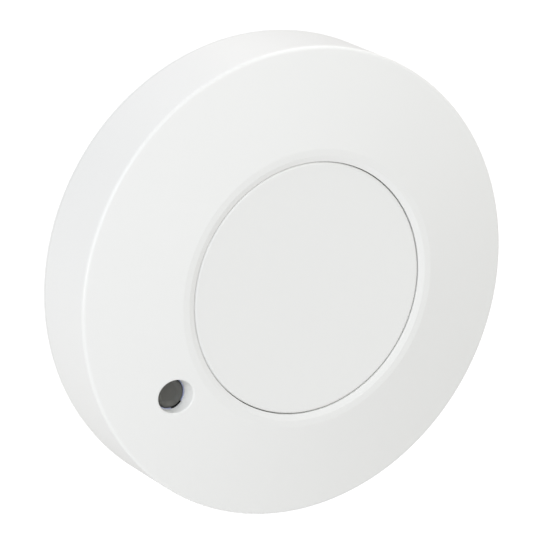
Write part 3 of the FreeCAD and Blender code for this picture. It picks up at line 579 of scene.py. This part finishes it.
plastic("lamp_white", (0.85, 0.82, 0.6), 0.3, contrast=0.05)
plastic("shroud_black", (0.012, 0.012, 0.012), 0.75, grain=0.2, contrast=0.1)
plastic("plunger_white", (0.8, 0.79, 0.76), 0.4, contrast=0.02)
plastic("ring_clear", (0.7, 0.74, 0.97), 0.3, contrast=0.03)
plastic("lens_smoke", (0.11, 0.11, 0.1), 0.28, bump=0.0005, spread=0.03, contrast=0.03)
metal("clamp_metal", (0.66, 0.66, 0.63), 0.35, stretch=(0.05, 1, 1))
metal("screw_steel", (0.6, 0.6, 0.61), 0.3, line=0.2, stretch=(1, 0.1, 1))
metal("contact_brass", (0.76, 0.6, 0.3), 0.28, stretch=(1, 0.1, 0.1))
metal("spring_steel", (0.52, 0.53, 0.55), 0.25)
metal("shield_tin", (0.68, 0.68, 0.67), 0.32, stretch=(0.1, 1, 1))
metal("can_aluminium", (0.74, 0.74, 0.75), 0.3, stretch=(1, 0.1, 1))
metal("antenna_copper", (0.85, 0.64, 0.32), 0.3)
board("board_mask", (0.012, 0.1, 0.05, 1), (0.03, 0.2, 0.09, 1))
for part in frame["record"]["subparts"]:
    thing = nodes[part["node"]]
    thing.data.materials.clear()
    thing.data.materials.append(FINISH[part["material_slot"]])
print("finishes:", len(FINISH))

# %% [markdown]
# The front cover is the face of the sensor: a side wall, a small bright rounding at its corner, a domed ring
# that rises to a flat narrow ridge, and a band that falls from the ridge to the opening of the pressed plate.
# All of that is one outline on the lathe. The photograph shows each change of slope as a crisp line, so the
# roundings there are a fraction of a millimetre, and the flat stretches between them are held flat.
#
# The lens recess isn't turned about the same axis. A Boolean cut would leave long thin faces round the hole,
# which show as streaks on a smooth white surface. So a window is opened in the grid instead, and rings of
# faces lead from its square edge to the round mouth, down the recess, and back up outside the lens tube. The
# three screw posts behind the cover grow out of windows in the same way.

# %% Sizes of the cover
cover_low, cover_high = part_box("front_cover")
disc_low, disc_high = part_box("centre_disc")
lens_low, lens_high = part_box("lens")

COVER_RADIUS = cover_high.x / MM
COVER_REAR = -cover_high.y / MM
RIDGE_DEPTH = -cover_low.y / MM
RIM_ROUND = 1.1
DOME_RISE = 5.65
DOME_BULGE = 0.17
RIDGE_INSET = 25.3
RIDGE_WIDTH = 1.8
BAND_WIDTH = 1.55
BAND_DROP = 0.5
COVER_WALL = 2.0
COLLAR_WALL = 1.5
COLLAR_HEIGHT = 1.5
COLLAR_ROOT = 0.3
RIDGE_OUTER = COVER_RADIUS - RIDGE_INSET
RIDGE_INNER = RIDGE_OUTER - RIDGE_WIDTH
OPENING_RADIUS = RIDGE_INNER - BAND_WIDTH
CORNER_DEPTH = RIDGE_DEPTH - DOME_RISE
BAND_DEPTH = RIDGE_DEPTH - BAND_DROP
ROW_STEP = 0.6

LENS_X = (lens_low.x + lens_high.x) / 2 / MM
LENS_Z = (lens_low.z + lens_high.z) / 2 / MM
LENS_RADIUS = (lens_high.x - lens_low.x) / 2 / MM


def dome_circle():
    """Centre and radius of the arc, in (radius, depth), that the domed ring follows."""
    run, chord = COVER_RADIUS - RIDGE_OUTER, math.hypot(COVER_RADIUS - RIDGE_OUTER, DOME_RISE)
    ball = (chord / 2) ** 2 / (2 * DOME_BULGE) + DOME_BULGE / 2
    across, along = DOME_RISE / chord, run / chord
    middle = Vector(((COVER_RADIUS + RIDGE_OUTER) / 2, (CORNER_DEPTH + RIDGE_DEPTH) / 2))
    return middle - Vector((across, along)) * (ball - DOME_BULGE), ball


DOME_CENTRE, DOME_BALL = dome_circle()


def dome_depth(radius, drop=0.0):
    """Depth of the domed ring's outside, or of its inside when it is dropped by the wall."""
    return DOME_CENTRE.y + math.sqrt(DOME_BALL ** 2 - (radius - DOME_CENTRE.x) ** 2) - drop


print("cover: radius %.2f, %.2f to %.2f deep, lens at (%.2f, %.2f)"
      % (COVER_RADIUS, COVER_REAR, RIDGE_DEPTH, LENS_X, LENS_Z))

# %% Outline of the cover
DOME_FIRST = COVER_RADIUS - 2.0
DOME_ROWS = 38
CREASE_ROUND = 0.12
FOOT_ROUND = 0.15
COLLAR_ROUND = 0.2
CORNER_DROP = 0.1


def dome_rows():
    return [DOME_FIRST - ROW_STEP * i for i in range(DOME_ROWS + 1)]


def cover_outline():
    inner = COVER_RADIUS - COVER_WALL
    outside = [(COVER_RADIUS, COVER_REAR, FOOT_ROUND), (COVER_RADIUS, CORNER_DEPTH, RIM_ROUND)]
    outside += [(r, dome_depth(r), 0) for r in dome_rows()]
    face = [(RIDGE_OUTER, RIDGE_DEPTH, CREASE_ROUND), (RIDGE_INNER, RIDGE_DEPTH, CREASE_ROUND),
            (OPENING_RADIUS, BAND_DEPTH, CREASE_ROUND)]
    behind = BAND_DEPTH - COVER_WALL
    collar = [(OPENING_RADIUS, behind - COLLAR_HEIGHT, COLLAR_ROUND),
              (OPENING_RADIUS + COLLAR_WALL, behind - COLLAR_HEIGHT, COLLAR_ROUND),
              (OPENING_RADIUS + COLLAR_WALL, behind + COLLAR_ROOT, 0)]
    inside = [(r, dome_depth(r, COVER_WALL), 0) for r in reversed(dome_rows())]
    inside += [(inner, dome_depth(inner, COVER_WALL) - CORNER_DROP, 0), (inner, COVER_REAR, FOOT_ROUND)]
    return rounded(outside + face + collar + inside)


print("outline of the cover:", len(cover_outline()), "points")

# %% Windows and what grows out of them
WINDOW_SLACK = 0.35
SPREAD = (0.0, 0.04, 0.12, 0.26, 0.45, 0.7, 1.0)


def open_window(bm, x, z, half_row, half_span, drop):
    """Removes the dome's faces in a patch round (x, z) and returns its edge, sorted round that point."""
    distance, middle = math.hypot(x, z), math.atan2(z, x)
    gone = []
    for face in bm.faces:
        centre = face.calc_center_median() / MM
        radius = math.hypot(centre.x, centre.z)
        turn = (math.atan2(centre.z, centre.x) - middle + math.pi) % TURN - math.pi
        on_wall = abs(-centre.y - dome_depth(radius, drop)) < WINDOW_SLACK
        if on_wall and abs(radius - distance) < half_row and abs(turn) * distance < half_span:
            gone.append(face)
    touched = {v for face in gone for v in face.verts}
    bmesh.ops.delete(bm, geom=gone, context="FACES")
    edge = [v for v in touched if v.is_valid and any(e.is_boundary for e in v.link_edges)]
    return sorted(edge, key=lambda v: math.atan2(v.co.z / MM - z, v.co.x / MM - x))


def stitch(bm, rings):
    """Faces between rings of equally many vertices."""
    for low, high in zip(rings, rings[1:]):
        for i in range(len(low)):
            j = (i + 1) % len(low)
            bm.faces.new((low[i], low[j], high[j], high[i]))


def ring_at(bm, x, z, angles, radii, depths):
    made = []
    for angle, radius, depth in zip(angles, radii, depths):
        made.append(bm.verts.new(((x + radius * math.cos(angle)) * MM, -depth * MM,
                                  (z + radius * math.sin(angle)) * MM)))
    return made


def spread_rings(bm, x, z, edge, hole, drop):
    """Rings on the dome from a round hole out to the window's edge, the edge itself last."""
    rings = []
    for share in SPREAD[:-1]:
        ring = []
        for v, (hx, hz) in zip(edge, hole):
            px, pz = hx + (v.co.x / MM - hx) * share, hz + (v.co.z / MM - hz) * share
            ring.append(bm.verts.new((px * MM, -dome_depth(math.hypot(px, pz), drop) * MM, pz * MM)))
        rings.append(ring)
    return rings + [edge]


print("round each window:", len(SPREAD) - 1, "rings of faces")

# %% The lens recess
MOUTH_RADIUS = 4.57
MOUTH_ROUND = 0.45
MOUTH_STEPS = 7
RECESS_BASE = 4.2
RECESS_DEPTH = 3.3
RECESS_SHARES = (0.06, 0.4, 0.75, 0.97, 1.0)
SEAT_RADIUS = 5.0
TUBE_RADIUS = 6.3
LENS_WINDOW = (7.0, 7.6)
TUBE_END = -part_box("light_ring")[1].y / MM
LENS_LEVEL = dome_depth(math.hypot(LENS_X, LENS_Z)) - RECESS_DEPTH
RECESS_FLARE = (MOUTH_RADIUS - RECESS_BASE) / RECESS_DEPTH


def mouth_arc(angle):
    """The rounding of the mouth in one direction, as (radius, depth) from the dome down to the recess."""
    def height(reach):
        return dome_depth(math.hypot(LENS_X + reach * math.cos(angle), LENS_Z + reach * math.sin(angle)))
    slope = height(MOUTH_RADIUS + 1) - height(MOUTH_RADIUS)
    dome_normal = Vector((-slope, 1)).normalized()
    wall_normal = Vector((-1, RECESS_FLARE)).normalized()
    dome_level = dome_normal.dot(Vector((MOUTH_RADIUS, height(MOUTH_RADIUS)))) - MOUTH_ROUND
    wall_level = wall_normal.dot(Vector((RECESS_BASE, LENS_LEVEL))) - MOUTH_ROUND
    cross = dome_normal.x * wall_normal.y - dome_normal.y * wall_normal.x
    centre = Vector(((dome_level * wall_normal.y - wall_level * dome_normal.y) / cross,
                     (dome_normal.x * wall_level - wall_normal.x * dome_level) / cross))
    sweep = dome_normal.angle(wall_normal)
    arc = []
    for step in range(MOUTH_STEPS + 1):
        t = step / MOUTH_STEPS
        arm = dome_normal * math.sin((1 - t) * sweep) + wall_normal * math.sin(t * sweep)
        arc.append(centre + arm / math.sin(sweep) * MOUTH_ROUND)
    return arc


def cut_lens_recess(bm):
    outside = open_window(bm, LENS_X, LENS_Z, *LENS_WINDOW, 0.0)
    inside = open_window(bm, LENS_X, LENS_Z, *LENS_WINDOW, COVER_WALL)
    angles = [math.atan2(v.co.z / MM - LENS_Z, v.co.x / MM - LENS_X) for v in outside]
    arcs = [mouth_arc(a) for a in angles]
    mouth = [(LENS_X + arc[0].x * math.cos(a), LENS_Z + arc[0].x * math.sin(a))
             for a, arc in zip(angles, arcs)]
    outer = spread_rings(bm, LENS_X, LENS_Z, outside, mouth, 0.0)
    seat = [outer[0]]
    for step in range(1, MOUTH_STEPS + 1):
        seat.append(ring_at(bm, LENS_X, LENS_Z, angles, [arc[step].x for arc in arcs],
                            [arc[step].y for arc in arcs]))
    for share in RECESS_SHARES:
        ends = [arc[-1] * (1 - share) + Vector((RECESS_BASE, LENS_LEVEL)) * share for arc in arcs]
        seat.append(ring_at(bm, LENS_X, LENS_Z, angles, [e.x for e in ends], [e.y for e in ends]))
    many = len(angles)
    for radius, depth in ((SEAT_RADIUS, LENS_LEVEL), (SEAT_RADIUS, TUBE_END), (TUBE_RADIUS, TUBE_END)):
        seat.append(ring_at(bm, LENS_X, LENS_Z, angles, [radius] * many, [depth] * many))
    foot = [(LENS_X + TUBE_RADIUS * math.cos(a), LENS_Z + TUBE_RADIUS * math.sin(a)) for a in angles]
    inner = spread_rings(bm, LENS_X, LENS_Z, inside, foot, COVER_WALL)
    stitch(bm, outer)
    stitch(bm, seat + [inner[0]])
    stitch(bm, inner)


print("lens recess: mouth %.2f deep, lens %.2f deep" % (LENS_LEVEL + RECESS_DEPTH, LENS_LEVEL))

# %% The screw posts
POST_CIRCLE = 50.0
POST_ANGLES = (30.0, 150.0, 270.0)
POST_RADIUS = 3.2
PILOT_RADIUS = 1.45
POST_END = 12.6
PILOT_END = 18.5
POST_WINDOW = (4.2, 4.2)


def grow_post(bm, angle):
    x, z = POST_CIRCLE * math.cos(angle), POST_CIRCLE * math.sin(angle)
    edge = open_window(bm, x, z, *POST_WINDOW, COVER_WALL)
    angles = [math.atan2(v.co.z / MM - z, v.co.x / MM - x) for v in edge]
    many = len(angles)
    foot = [(x + POST_RADIUS * math.cos(a), z + POST_RADIUS * math.sin(a)) for a in angles]
    rings = spread_rings(bm, x, z, edge, foot, COVER_WALL)
    post = [rings[0]]
    for radius, depth in ((POST_RADIUS, POST_END), (PILOT_RADIUS, POST_END), (PILOT_RADIUS, PILOT_END)):
        post.append(ring_at(bm, x, z, angles, [radius] * many, [depth] * many))
    stitch(bm, rings)
    stitch(bm, post)
    bm.faces.new(post[-1])


def dress_cover(bm):
    cut_lens_recess(bm)
    for angle in POST_ANGLES:
        grow_post(bm, math.radians(angle))


COVER_SEGMENTS = 540
cover = turned("cover_shell", cover_outline(), FINISH["cover_white"], COVER_SEGMENTS,
               start=math.atan2(LENS_Z, LENS_X), change=dress_cover)
stand_for(cover, "head", "front_cover", slot="cover_white")

# %% [markdown]
# The pressed plate is a flat disc whose rounded edge dips into the gap, and a skirt behind it keeps it square
# in the opening. Three hooks hold it in the frame and a stem works the switch. Disc and skirt come off the
# lathe. The hooks are one small bent outline, copied round the axis by Geometry Nodes.

# %% The ring of copies
def make_ring_of_copies():
    tree, given, result = new_tree("ring_of_copies", [
        ("Piece", "NodeSocketGeometry"), ("Count", "NodeSocketInt"), ("First angle", "NodeSocketFloat"),
        ("Last angle", "NodeSocketFloat"), ("Material", "NodeSocketMaterial"),
    ])
    points = add(tree, "GeometryNodePoints", {"Count": given["Count"]}).outputs[0]
    index = add(tree, "GeometryNodeInputIndex").outputs[0]
    gaps = calc(tree, "MAXIMUM", calc(tree, "SUBTRACT", given["Count"], 1), 1)
    step = calc(tree, "DIVIDE", calc(tree, "SUBTRACT", given["Last angle"], given["First angle"]), gaps)
    angle = calc(tree, "ADD", given["First angle"], calc(tree, "MULTIPLY", index, step))
    turn = add(tree, "ShaderNodeCombineXYZ", {"Y": calc(tree, "MULTIPLY", angle, -1)}).outputs[0]
    copies = add(tree, "GeometryNodeInstanceOnPoints", {"Points": points, "Instance": given["Piece"],
                                                        "Rotation": turn})
    finish_geometry(tree, copies.outputs[0], given["Material"], result)
    return tree


RING_OF_COPIES = make_ring_of_copies()


def ring_of_copies(thing, count, first, last, material):
    run_tree(thing, RING_OF_COPIES, {"Count": count, "First angle": math.radians(first),
                                     "Last angle": math.radians(last), "Material": material})
    return tidy_mesh(thing)


def join(name, things, material=None):
    """One mesh from several pieces that stay separate shells."""
    bm = bmesh.new()
    material = material or things[0].data.materials[0]
    for thing in things:
        bm.from_mesh(thing.data)
        bpy.data.objects.remove(thing)
    joined = mesh_object(name, [])
    bm.to_mesh(joined.data)
    bm.free()
    joined.data.materials.append(material)
    joined.data.set_sharp_from_angle(angle=SHARP_ANGLE)
    return joined


def prism(name, outline, low, high):
    """A bar whose outline of (x, depth) points runs from low to high in Z, in millimetres."""
    many = len(outline)
    points = [(x * MM, -d * MM, z * MM) for z in (low, high) for x, d in outline]
    sides = [(i, (i + 1) % many, many + (i + 1) % many, many + i) for i in range(many)]
    ends = [tuple(range(many)), tuple(range(2 * many - 1, many - 1, -1))]
    return mesh_object(name, points, faces=sides + ends)


print("ring of copies ready with inputs", sorted(socket_ids(RING_OF_COPIES)))

# %% The pressed plate
DISC_GAP = 0.18
DISC_RADIUS = OPENING_RADIUS - DISC_GAP
DISC_FRONT = -disc_low.y / MM
DISC_THICKNESS = 1.6
DISC_ROUND = 0.8
DISC_ROWS = (0, 12, 24, 31)
SKIRT_WALL = 1.5
SKIRT_HEIGHT = 1.6
SKIRT_ROUND = 0.2
HOOK_RADIUS = 29.1
HOOK_WIDTH = 4.0
HOOK_HALF = 0.8
HOOK_LIP = 0.9
HOOK_LIP_HEIGHT = 0.8
HOOK_NOSE = 0.4
HOOK_COUNT = 3
HOOK_ANGLES = (30.0, 270.0)
HOOK_END = -disc_high.y / MM
STEM_RADIUS = 1.4
STEM_ROUND = 0.2
STEM_END = 23.1
STEM_ANGLE = math.radians(210.0)
DISC_BACK = DISC_FRONT - DISC_THICKNESS


def disc_outline():
    centre = [(r, DISC_FRONT, 0) for r in DISC_ROWS]
    skirt_end, skirt_inner = DISC_BACK - SKIRT_HEIGHT, DISC_RADIUS - SKIRT_WALL
    edge = [(DISC_RADIUS, DISC_FRONT, DISC_ROUND), (DISC_RADIUS, skirt_end, SKIRT_ROUND)]
    inside = [(skirt_inner, skirt_end, SKIRT_ROUND), (skirt_inner, DISC_BACK, 0), (0, DISC_BACK, 0)]
    return rounded(centre + edge + inside, steps=14)


def make_plate():
    disc = turned("plate_disc", disc_outline(), FINISH["plate_white"], segments=300, closed=False)
    inner, outer = HOOK_RADIUS - HOOK_HALF, HOOK_RADIUS + HOOK_HALF
    lip, lip_top = outer + HOOK_LIP, HOOK_END + HOOK_LIP_HEIGHT
    hook = prism("plate_hooks", [
        (inner, DISC_BACK), (inner, HOOK_END), (outer, HOOK_END),
        (lip, HOOK_END + HOOK_LIP_HEIGHT * HOOK_NOSE), (lip, lip_top), (outer, lip_top), (outer, DISC_BACK),
    ], -HOOK_WIDTH / 2, HOOK_WIDTH / 2)
    ring_of_copies(hook, HOOK_COUNT, *HOOK_ANGLES, FINISH["plate_white"])
    centre = (HOOK_RADIUS * math.cos(STEM_ANGLE) * MM, 0, HOOK_RADIUS * math.sin(STEM_ANGLE) * MM)
    stem = turned("plate_stem", rounded([(0, DISC_BACK, 0), (STEM_RADIUS, DISC_BACK, 0),
                                         (STEM_RADIUS, STEM_END, STEM_ROUND), (0, STEM_END, 0)], hold=0.05),
                  FINISH["plate_white"], segments=48, centre=centre, closed=False)
    return join("pressed_plate", [disc, hook, stem])


stand_for(make_plate(), "disc", "centre_disc", slot="plate_white")

# %% [markdown]
# The lens is a small smoked disc with a slightly crowned face. Looked at closely, the photograph shows a
# second circle inside it, with a paler crescent at its lower right: the wall of a shallow dish, which faces
# the light there. The dish is real shape here, and no painted shade. The dark line round the lens is a step
# at its edge, as a lens has that is held by a flange.

# %% The lens
LENS_BACK = -lens_high.y / MM
LENS_FRONT = -lens_low.y / MM
LENS_CROWN = 0.35
LENS_FACE = 3.68
LENS_EDGE = 0.3
LENS_ROUND = 0.2
LENS_ROWS = 36
LENS_STEP = 0.9
DISH_RADIUS = 2.0
DISH_WALL = 1.4
DISH_DEPTH = 0.8


def lens_outline():
    ball = (LENS_RADIUS ** 2 + LENS_CROWN ** 2) / (2 * LENS_CROWN)

    def face(radius):
        crown = LENS_FRONT - ball + math.sqrt(ball ** 2 - radius ** 2)
        rise = min(max((radius - DISH_RADIUS) / DISH_WALL, 0), 1)
        return crown - DISH_DEPTH * (1 - rise * rise * (3 - 2 * rise))
    rows = [(LENS_FACE - LENS_EDGE) * i / LENS_ROWS for i in range(LENS_ROWS + 1)]
    step = face(LENS_FACE) - LENS_STEP
    edge = [(LENS_FACE, face(LENS_FACE), LENS_ROUND), (LENS_FACE, step, 0), (LENS_RADIUS, step, 0.05),
            (LENS_RADIUS, LENS_BACK, 0.1), (0, LENS_BACK, 0)]
    return rounded([(r, face(r), 0) for r in rows] + edge, hold=0.03)


lens = turned("lens_disc", lens_outline(), FINISH["lens_smoke"], segments=96, closed=False,
              centre=(LENS_X * MM, 0, LENS_Z * MM))
stand_for(lens, "head", "lens", slot="lens_smoke")

# %% [markdown]
# The gasket is a flat ring of soft rubber in a groove of the wall plate, and it seals the sensor to the wall.
# It bulges a little where it isn't pressed, so its outline is two low lips with a groove between them.

# %% The gasket
gasket_low, gasket_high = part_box("wall_gasket")
GASKET_WIDTH = 2.8
GASKET_GROOVE = 0.35
LIP_OFFSET = 0.45
LIP_ROUND = 0.25
GROOVE_ROUND = 0.2
BACK_ROUND = 0.15


def gasket_outline():
    outer = gasket_high.x / MM
    inner = outer - GASKET_WIDTH
    height = -gasket_low.y / MM
    middle = (outer + inner) / 2
    lips = [(outer, 0.0, LIP_ROUND), (middle + LIP_OFFSET, 0.0, GROOVE_ROUND),
            (middle, GASKET_GROOVE, BACK_ROUND), (middle - LIP_OFFSET, 0.0, GROOVE_ROUND),
            (inner, 0.0, LIP_ROUND)]
    back = [(inner, height, BACK_ROUND), (outer, height, BACK_ROUND)]
    return rounded(lips + back, steps=4, hold=0.03)


gasket = turned("gasket_ring", gasket_outline(), FINISH["gasket_rubber"], segments=240)
stand_for(gasket, "base", "wall_gasket", slot="gasket_rubber")

# %% [markdown]
# Inside the head stand the two boards. Their small metal parts repeat by rule, so Geometry Nodes lays them
# out: the end caps of the chip parts lie on two circles near the board's edge, and the solder feet of the
# controllers and of the radio board stand in straight rows. One tree copies a piece along a row, the ring of
# copies above carries it round, and the row is then moved to where its chip stands. The feed lines that join
# the aerial patches are thin strips of the same copper.

# %% Rows of copies
def make_row_of_copies():
    tree, given, result = new_tree("row_of_copies", [
        ("Piece", "NodeSocketGeometry"), ("Count", "NodeSocketInt"), ("Step", "NodeSocketFloat"),
        ("Material", "NodeSocketMaterial"),
    ])
    gaps = calc(tree, "SUBTRACT", given["Count"], 1)
    first = calc(tree, "MULTIPLY", calc(tree, "MULTIPLY", given["Step"], -0.5), gaps)
    start = add(tree, "ShaderNodeCombineXYZ", {"Z": first}).outputs[0]
    offset = add(tree, "ShaderNodeCombineXYZ", {"Z": given["Step"]}).outputs[0]
    line = add(tree, "GeometryNodeMeshLine", {"Count": given["Count"], "Start Location": start,
                                              "Offset": offset})
    copies = add(tree, "GeometryNodeInstanceOnPoints", {"Points": line.outputs[0],
                                                        "Instance": given["Piece"]})
    finish_geometry(tree, copies.outputs[0], given["Material"], result)
    return tree


ROW_OF_COPIES = make_row_of_copies()


def row_of_copies(thing, count, step, finish):
    run_tree(thing, ROW_OF_COPIES, {"Count": count, "Step": step * MM, "Material": FINISH[finish]})


def put(thing, radius, angle):
    """Moves a piece made round the axis out to a circle, and turns it to face outwards."""
    turn = Matrix.Rotation(-math.radians(angle), 4, "Y")
    thing.data.transform(turn @ Matrix.Translation((radius * MM, 0, 0)))
    return thing


print("row of copies ready with inputs", sorted(socket_ids(ROW_OF_COPIES)))

# %% Metal parts of the main board
BOARD_FRONT = -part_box("microcontroller")[1].y / MM
CAP_TOP = -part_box("chip_resistors")[0].y / MM + 0.02
CAP_HALF = 0.42
CAP_INNER = 0.45
CAP_OUTER = 0.82
CAP_ROUND = 0.08
METAL_GAP = 0.01
CHIP_ROWS = (46.5, 43.5)
CHIP_RUNS = ((3, 158, 168), (2, 190, 195), (3, 228, 238), (2, 350, 354), (3, 128, 138), (3, 243, 253),
             (2, 285, 289), (1, 18, 18))
CHIP_FEET = [(3.45, 0.2), (3.52, 0.2), (3.8, 0.05), (3.8, 0.01), (3.45, 0.01)]
GULL_WINGS = [(2.45, 0.75), (2.95, 0.75), (3.15, 0.15), (3.6, 0.15), (3.6, 0.01), (3.0, 0.01),
              (2.85, 0.6), (2.45, 0.6)]
EDGE_PADS = [(5.2, 0.82), (5.97, 0.82), (6.03, 0.76), (6.03, 0.05), (6.3, 0.01), (5.95, 0.01),
             (5.95, 0.78), (5.2, 0.78)]


def end_caps():
    """The metal ends of the chip parts: two to a part, two parts to each angle."""
    foot = BOARD_FRONT + METAL_GAP
    caps = []
    for row in CHIP_ROWS:
        for near, far in ((row - CAP_OUTER, row - CAP_INNER), (row + CAP_INNER, row + CAP_OUTER)):
            outline = rounded([(near, CAP_TOP, CAP_ROUND), (far, CAP_TOP, CAP_ROUND), (far, foot, 0),
                               (near, foot, 0)], steps=2, hold=0.02)
            caps.append(prism("cap", outline, -CAP_HALF, CAP_HALF))
    return join("end_caps", caps, FINISH["shield_tin"])


def feet(name, outline, half, count, step, sides, finish):
    """Rows of feet on the sides of a chip, from one foot's outline of (distance, height over the board)."""
    foot = prism(name, [(x, BOARD_FRONT + h) for x, h in outline], -half, half)
    row_of_copies(foot, count, step, finish)
    return ring_of_copies(foot, sides, 0, 360 - 360 / sides, FINISH[finish])


caps = [ring_of_copies(end_caps(), count, first, last, FINISH["shield_tin"])
        for count, first, last in CHIP_RUNS]
chip = feet("chip_feet", CHIP_FEET, half=0.12, count=12, step=0.5, sides=4, finish="shield_tin")
wings = feet("gull_wings", GULL_WINGS, half=0.2, count=4, step=0.95, sides=2, finish="shield_tin")
caps += [put(chip, radius=43.0, angle=0.0), put(wings, radius=43.0, angle=88.0)]
stand_for(join("solder_parts", caps), "head", slot="shield_tin")
pads = feet("edge_pads", EDGE_PADS, half=0.4, count=12, step=1.27, sides=2, finish="antenna_copper")
stand_for(put(pads, radius=41.5, angle=330.0), "head", slot="antenna_copper")

# %% Feed lines of the radar board
RADAR_FACE = -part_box("radar_board")[0].y / MM
PATCH_COLUMNS = (-13.0, -6.8, 5.6, 13.0)
FEED_LENGTH = 21.6
FEED_HALF = 0.25
FEED_BOTTOM = RADAR_FACE + 0.001
FEED_TOP = RADAR_FACE + 0.05
FEED_LEVEL = -12.0


def feed_lines():
    def strip(low, high, bottom, top):
        corners = [(low, FEED_BOTTOM), (high, FEED_BOTTOM), (high, FEED_TOP), (low, FEED_TOP)]
        return prism("feed", corners, bottom, top)
    lines = [strip(x - FEED_HALF, x + FEED_HALF, FEED_LEVEL, FEED_LEVEL + FEED_LENGTH) for x in PATCH_COLUMNS]
    for left, right in (PATCH_COLUMNS[:2], PATCH_COLUMNS[2:]):
        lines.append(strip(left, right, FEED_LEVEL - FEED_HALF, FEED_LEVEL + FEED_HALF))
    return join("feed_lines", lines, FINISH["antenna_copper"])


stand_for(tidy_mesh(feed_lines()), "head", slot="antenna_copper")

# %% [markdown]
# Between the inner frame and the pressed plate lies the return spring, a stamped ring with three sprung arms.
# The ring stays on the frame while the arms' ends go down with the plate, so the piece can't ride on one
# body. Here it is built where it rests and rides on neither body. The ring comes off the lathe and the arm is
# one bent strip, copied round.

# %% The return spring
spring_low, spring_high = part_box("return_spring")
SPRING_FOOT = -spring_high.y / MM
SPRING_TOP = -spring_low.y / MM
SPRING_THICKNESS = 0.25
SPRING_INSET = 3.3
SPRING_INNER = HOOK_RADIUS - SPRING_INSET
SPRING_WIDTH = 1.5
SPRING_ROUND = 0.05
ARM_LENGTH = 10.0
ARM_FLAT = 1.4
ARM_BEND = 1.0
ARM_ROUND = 0.08
ARM_COUNT = 3
ARM_ANGLES = (50.0, 290.0)


def make_spring():
    inner, outer, edge = SPRING_INNER, SPRING_INNER + SPRING_WIDTH, SPRING_ROUND
    foot, top, thick = SPRING_FOOT, SPRING_TOP, SPRING_THICKNESS
    flat = rounded([(inner, foot, edge), (outer, foot, edge), (outer, foot + thick, edge),
                    (inner, foot + thick, edge)], steps=2, hold=0.02)
    ring = turned("spring_ring", flat, FINISH["spring_steel"], segments=180)
    bend = ARM_LENGTH - ARM_FLAT
    bent = rounded([(0, foot, 0), (bend, top - thick, ARM_BEND), (ARM_LENGTH, top - thick, ARM_ROUND),
                    (ARM_LENGTH, top, ARM_ROUND), (bend, top, ARM_BEND), (0, foot + thick, 0)],
                   steps=4, hold=0.05)
    arm = prism("spring_arms", bent, -SPRING_WIDTH / 2, SPRING_WIDTH / 2)
    put(arm, radius=0, angle=90)
    arm.data.transform(Matrix.Translation(((inner + outer) / 2 * MM, 0, 0)))
    ring_of_copies(arm, ARM_COUNT, *ARM_ANGLES, FINISH["spring_steel"])
    return join("sprung_ring", [ring, arm])


spring = make_spring()
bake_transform(spring)
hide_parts("return_spring")
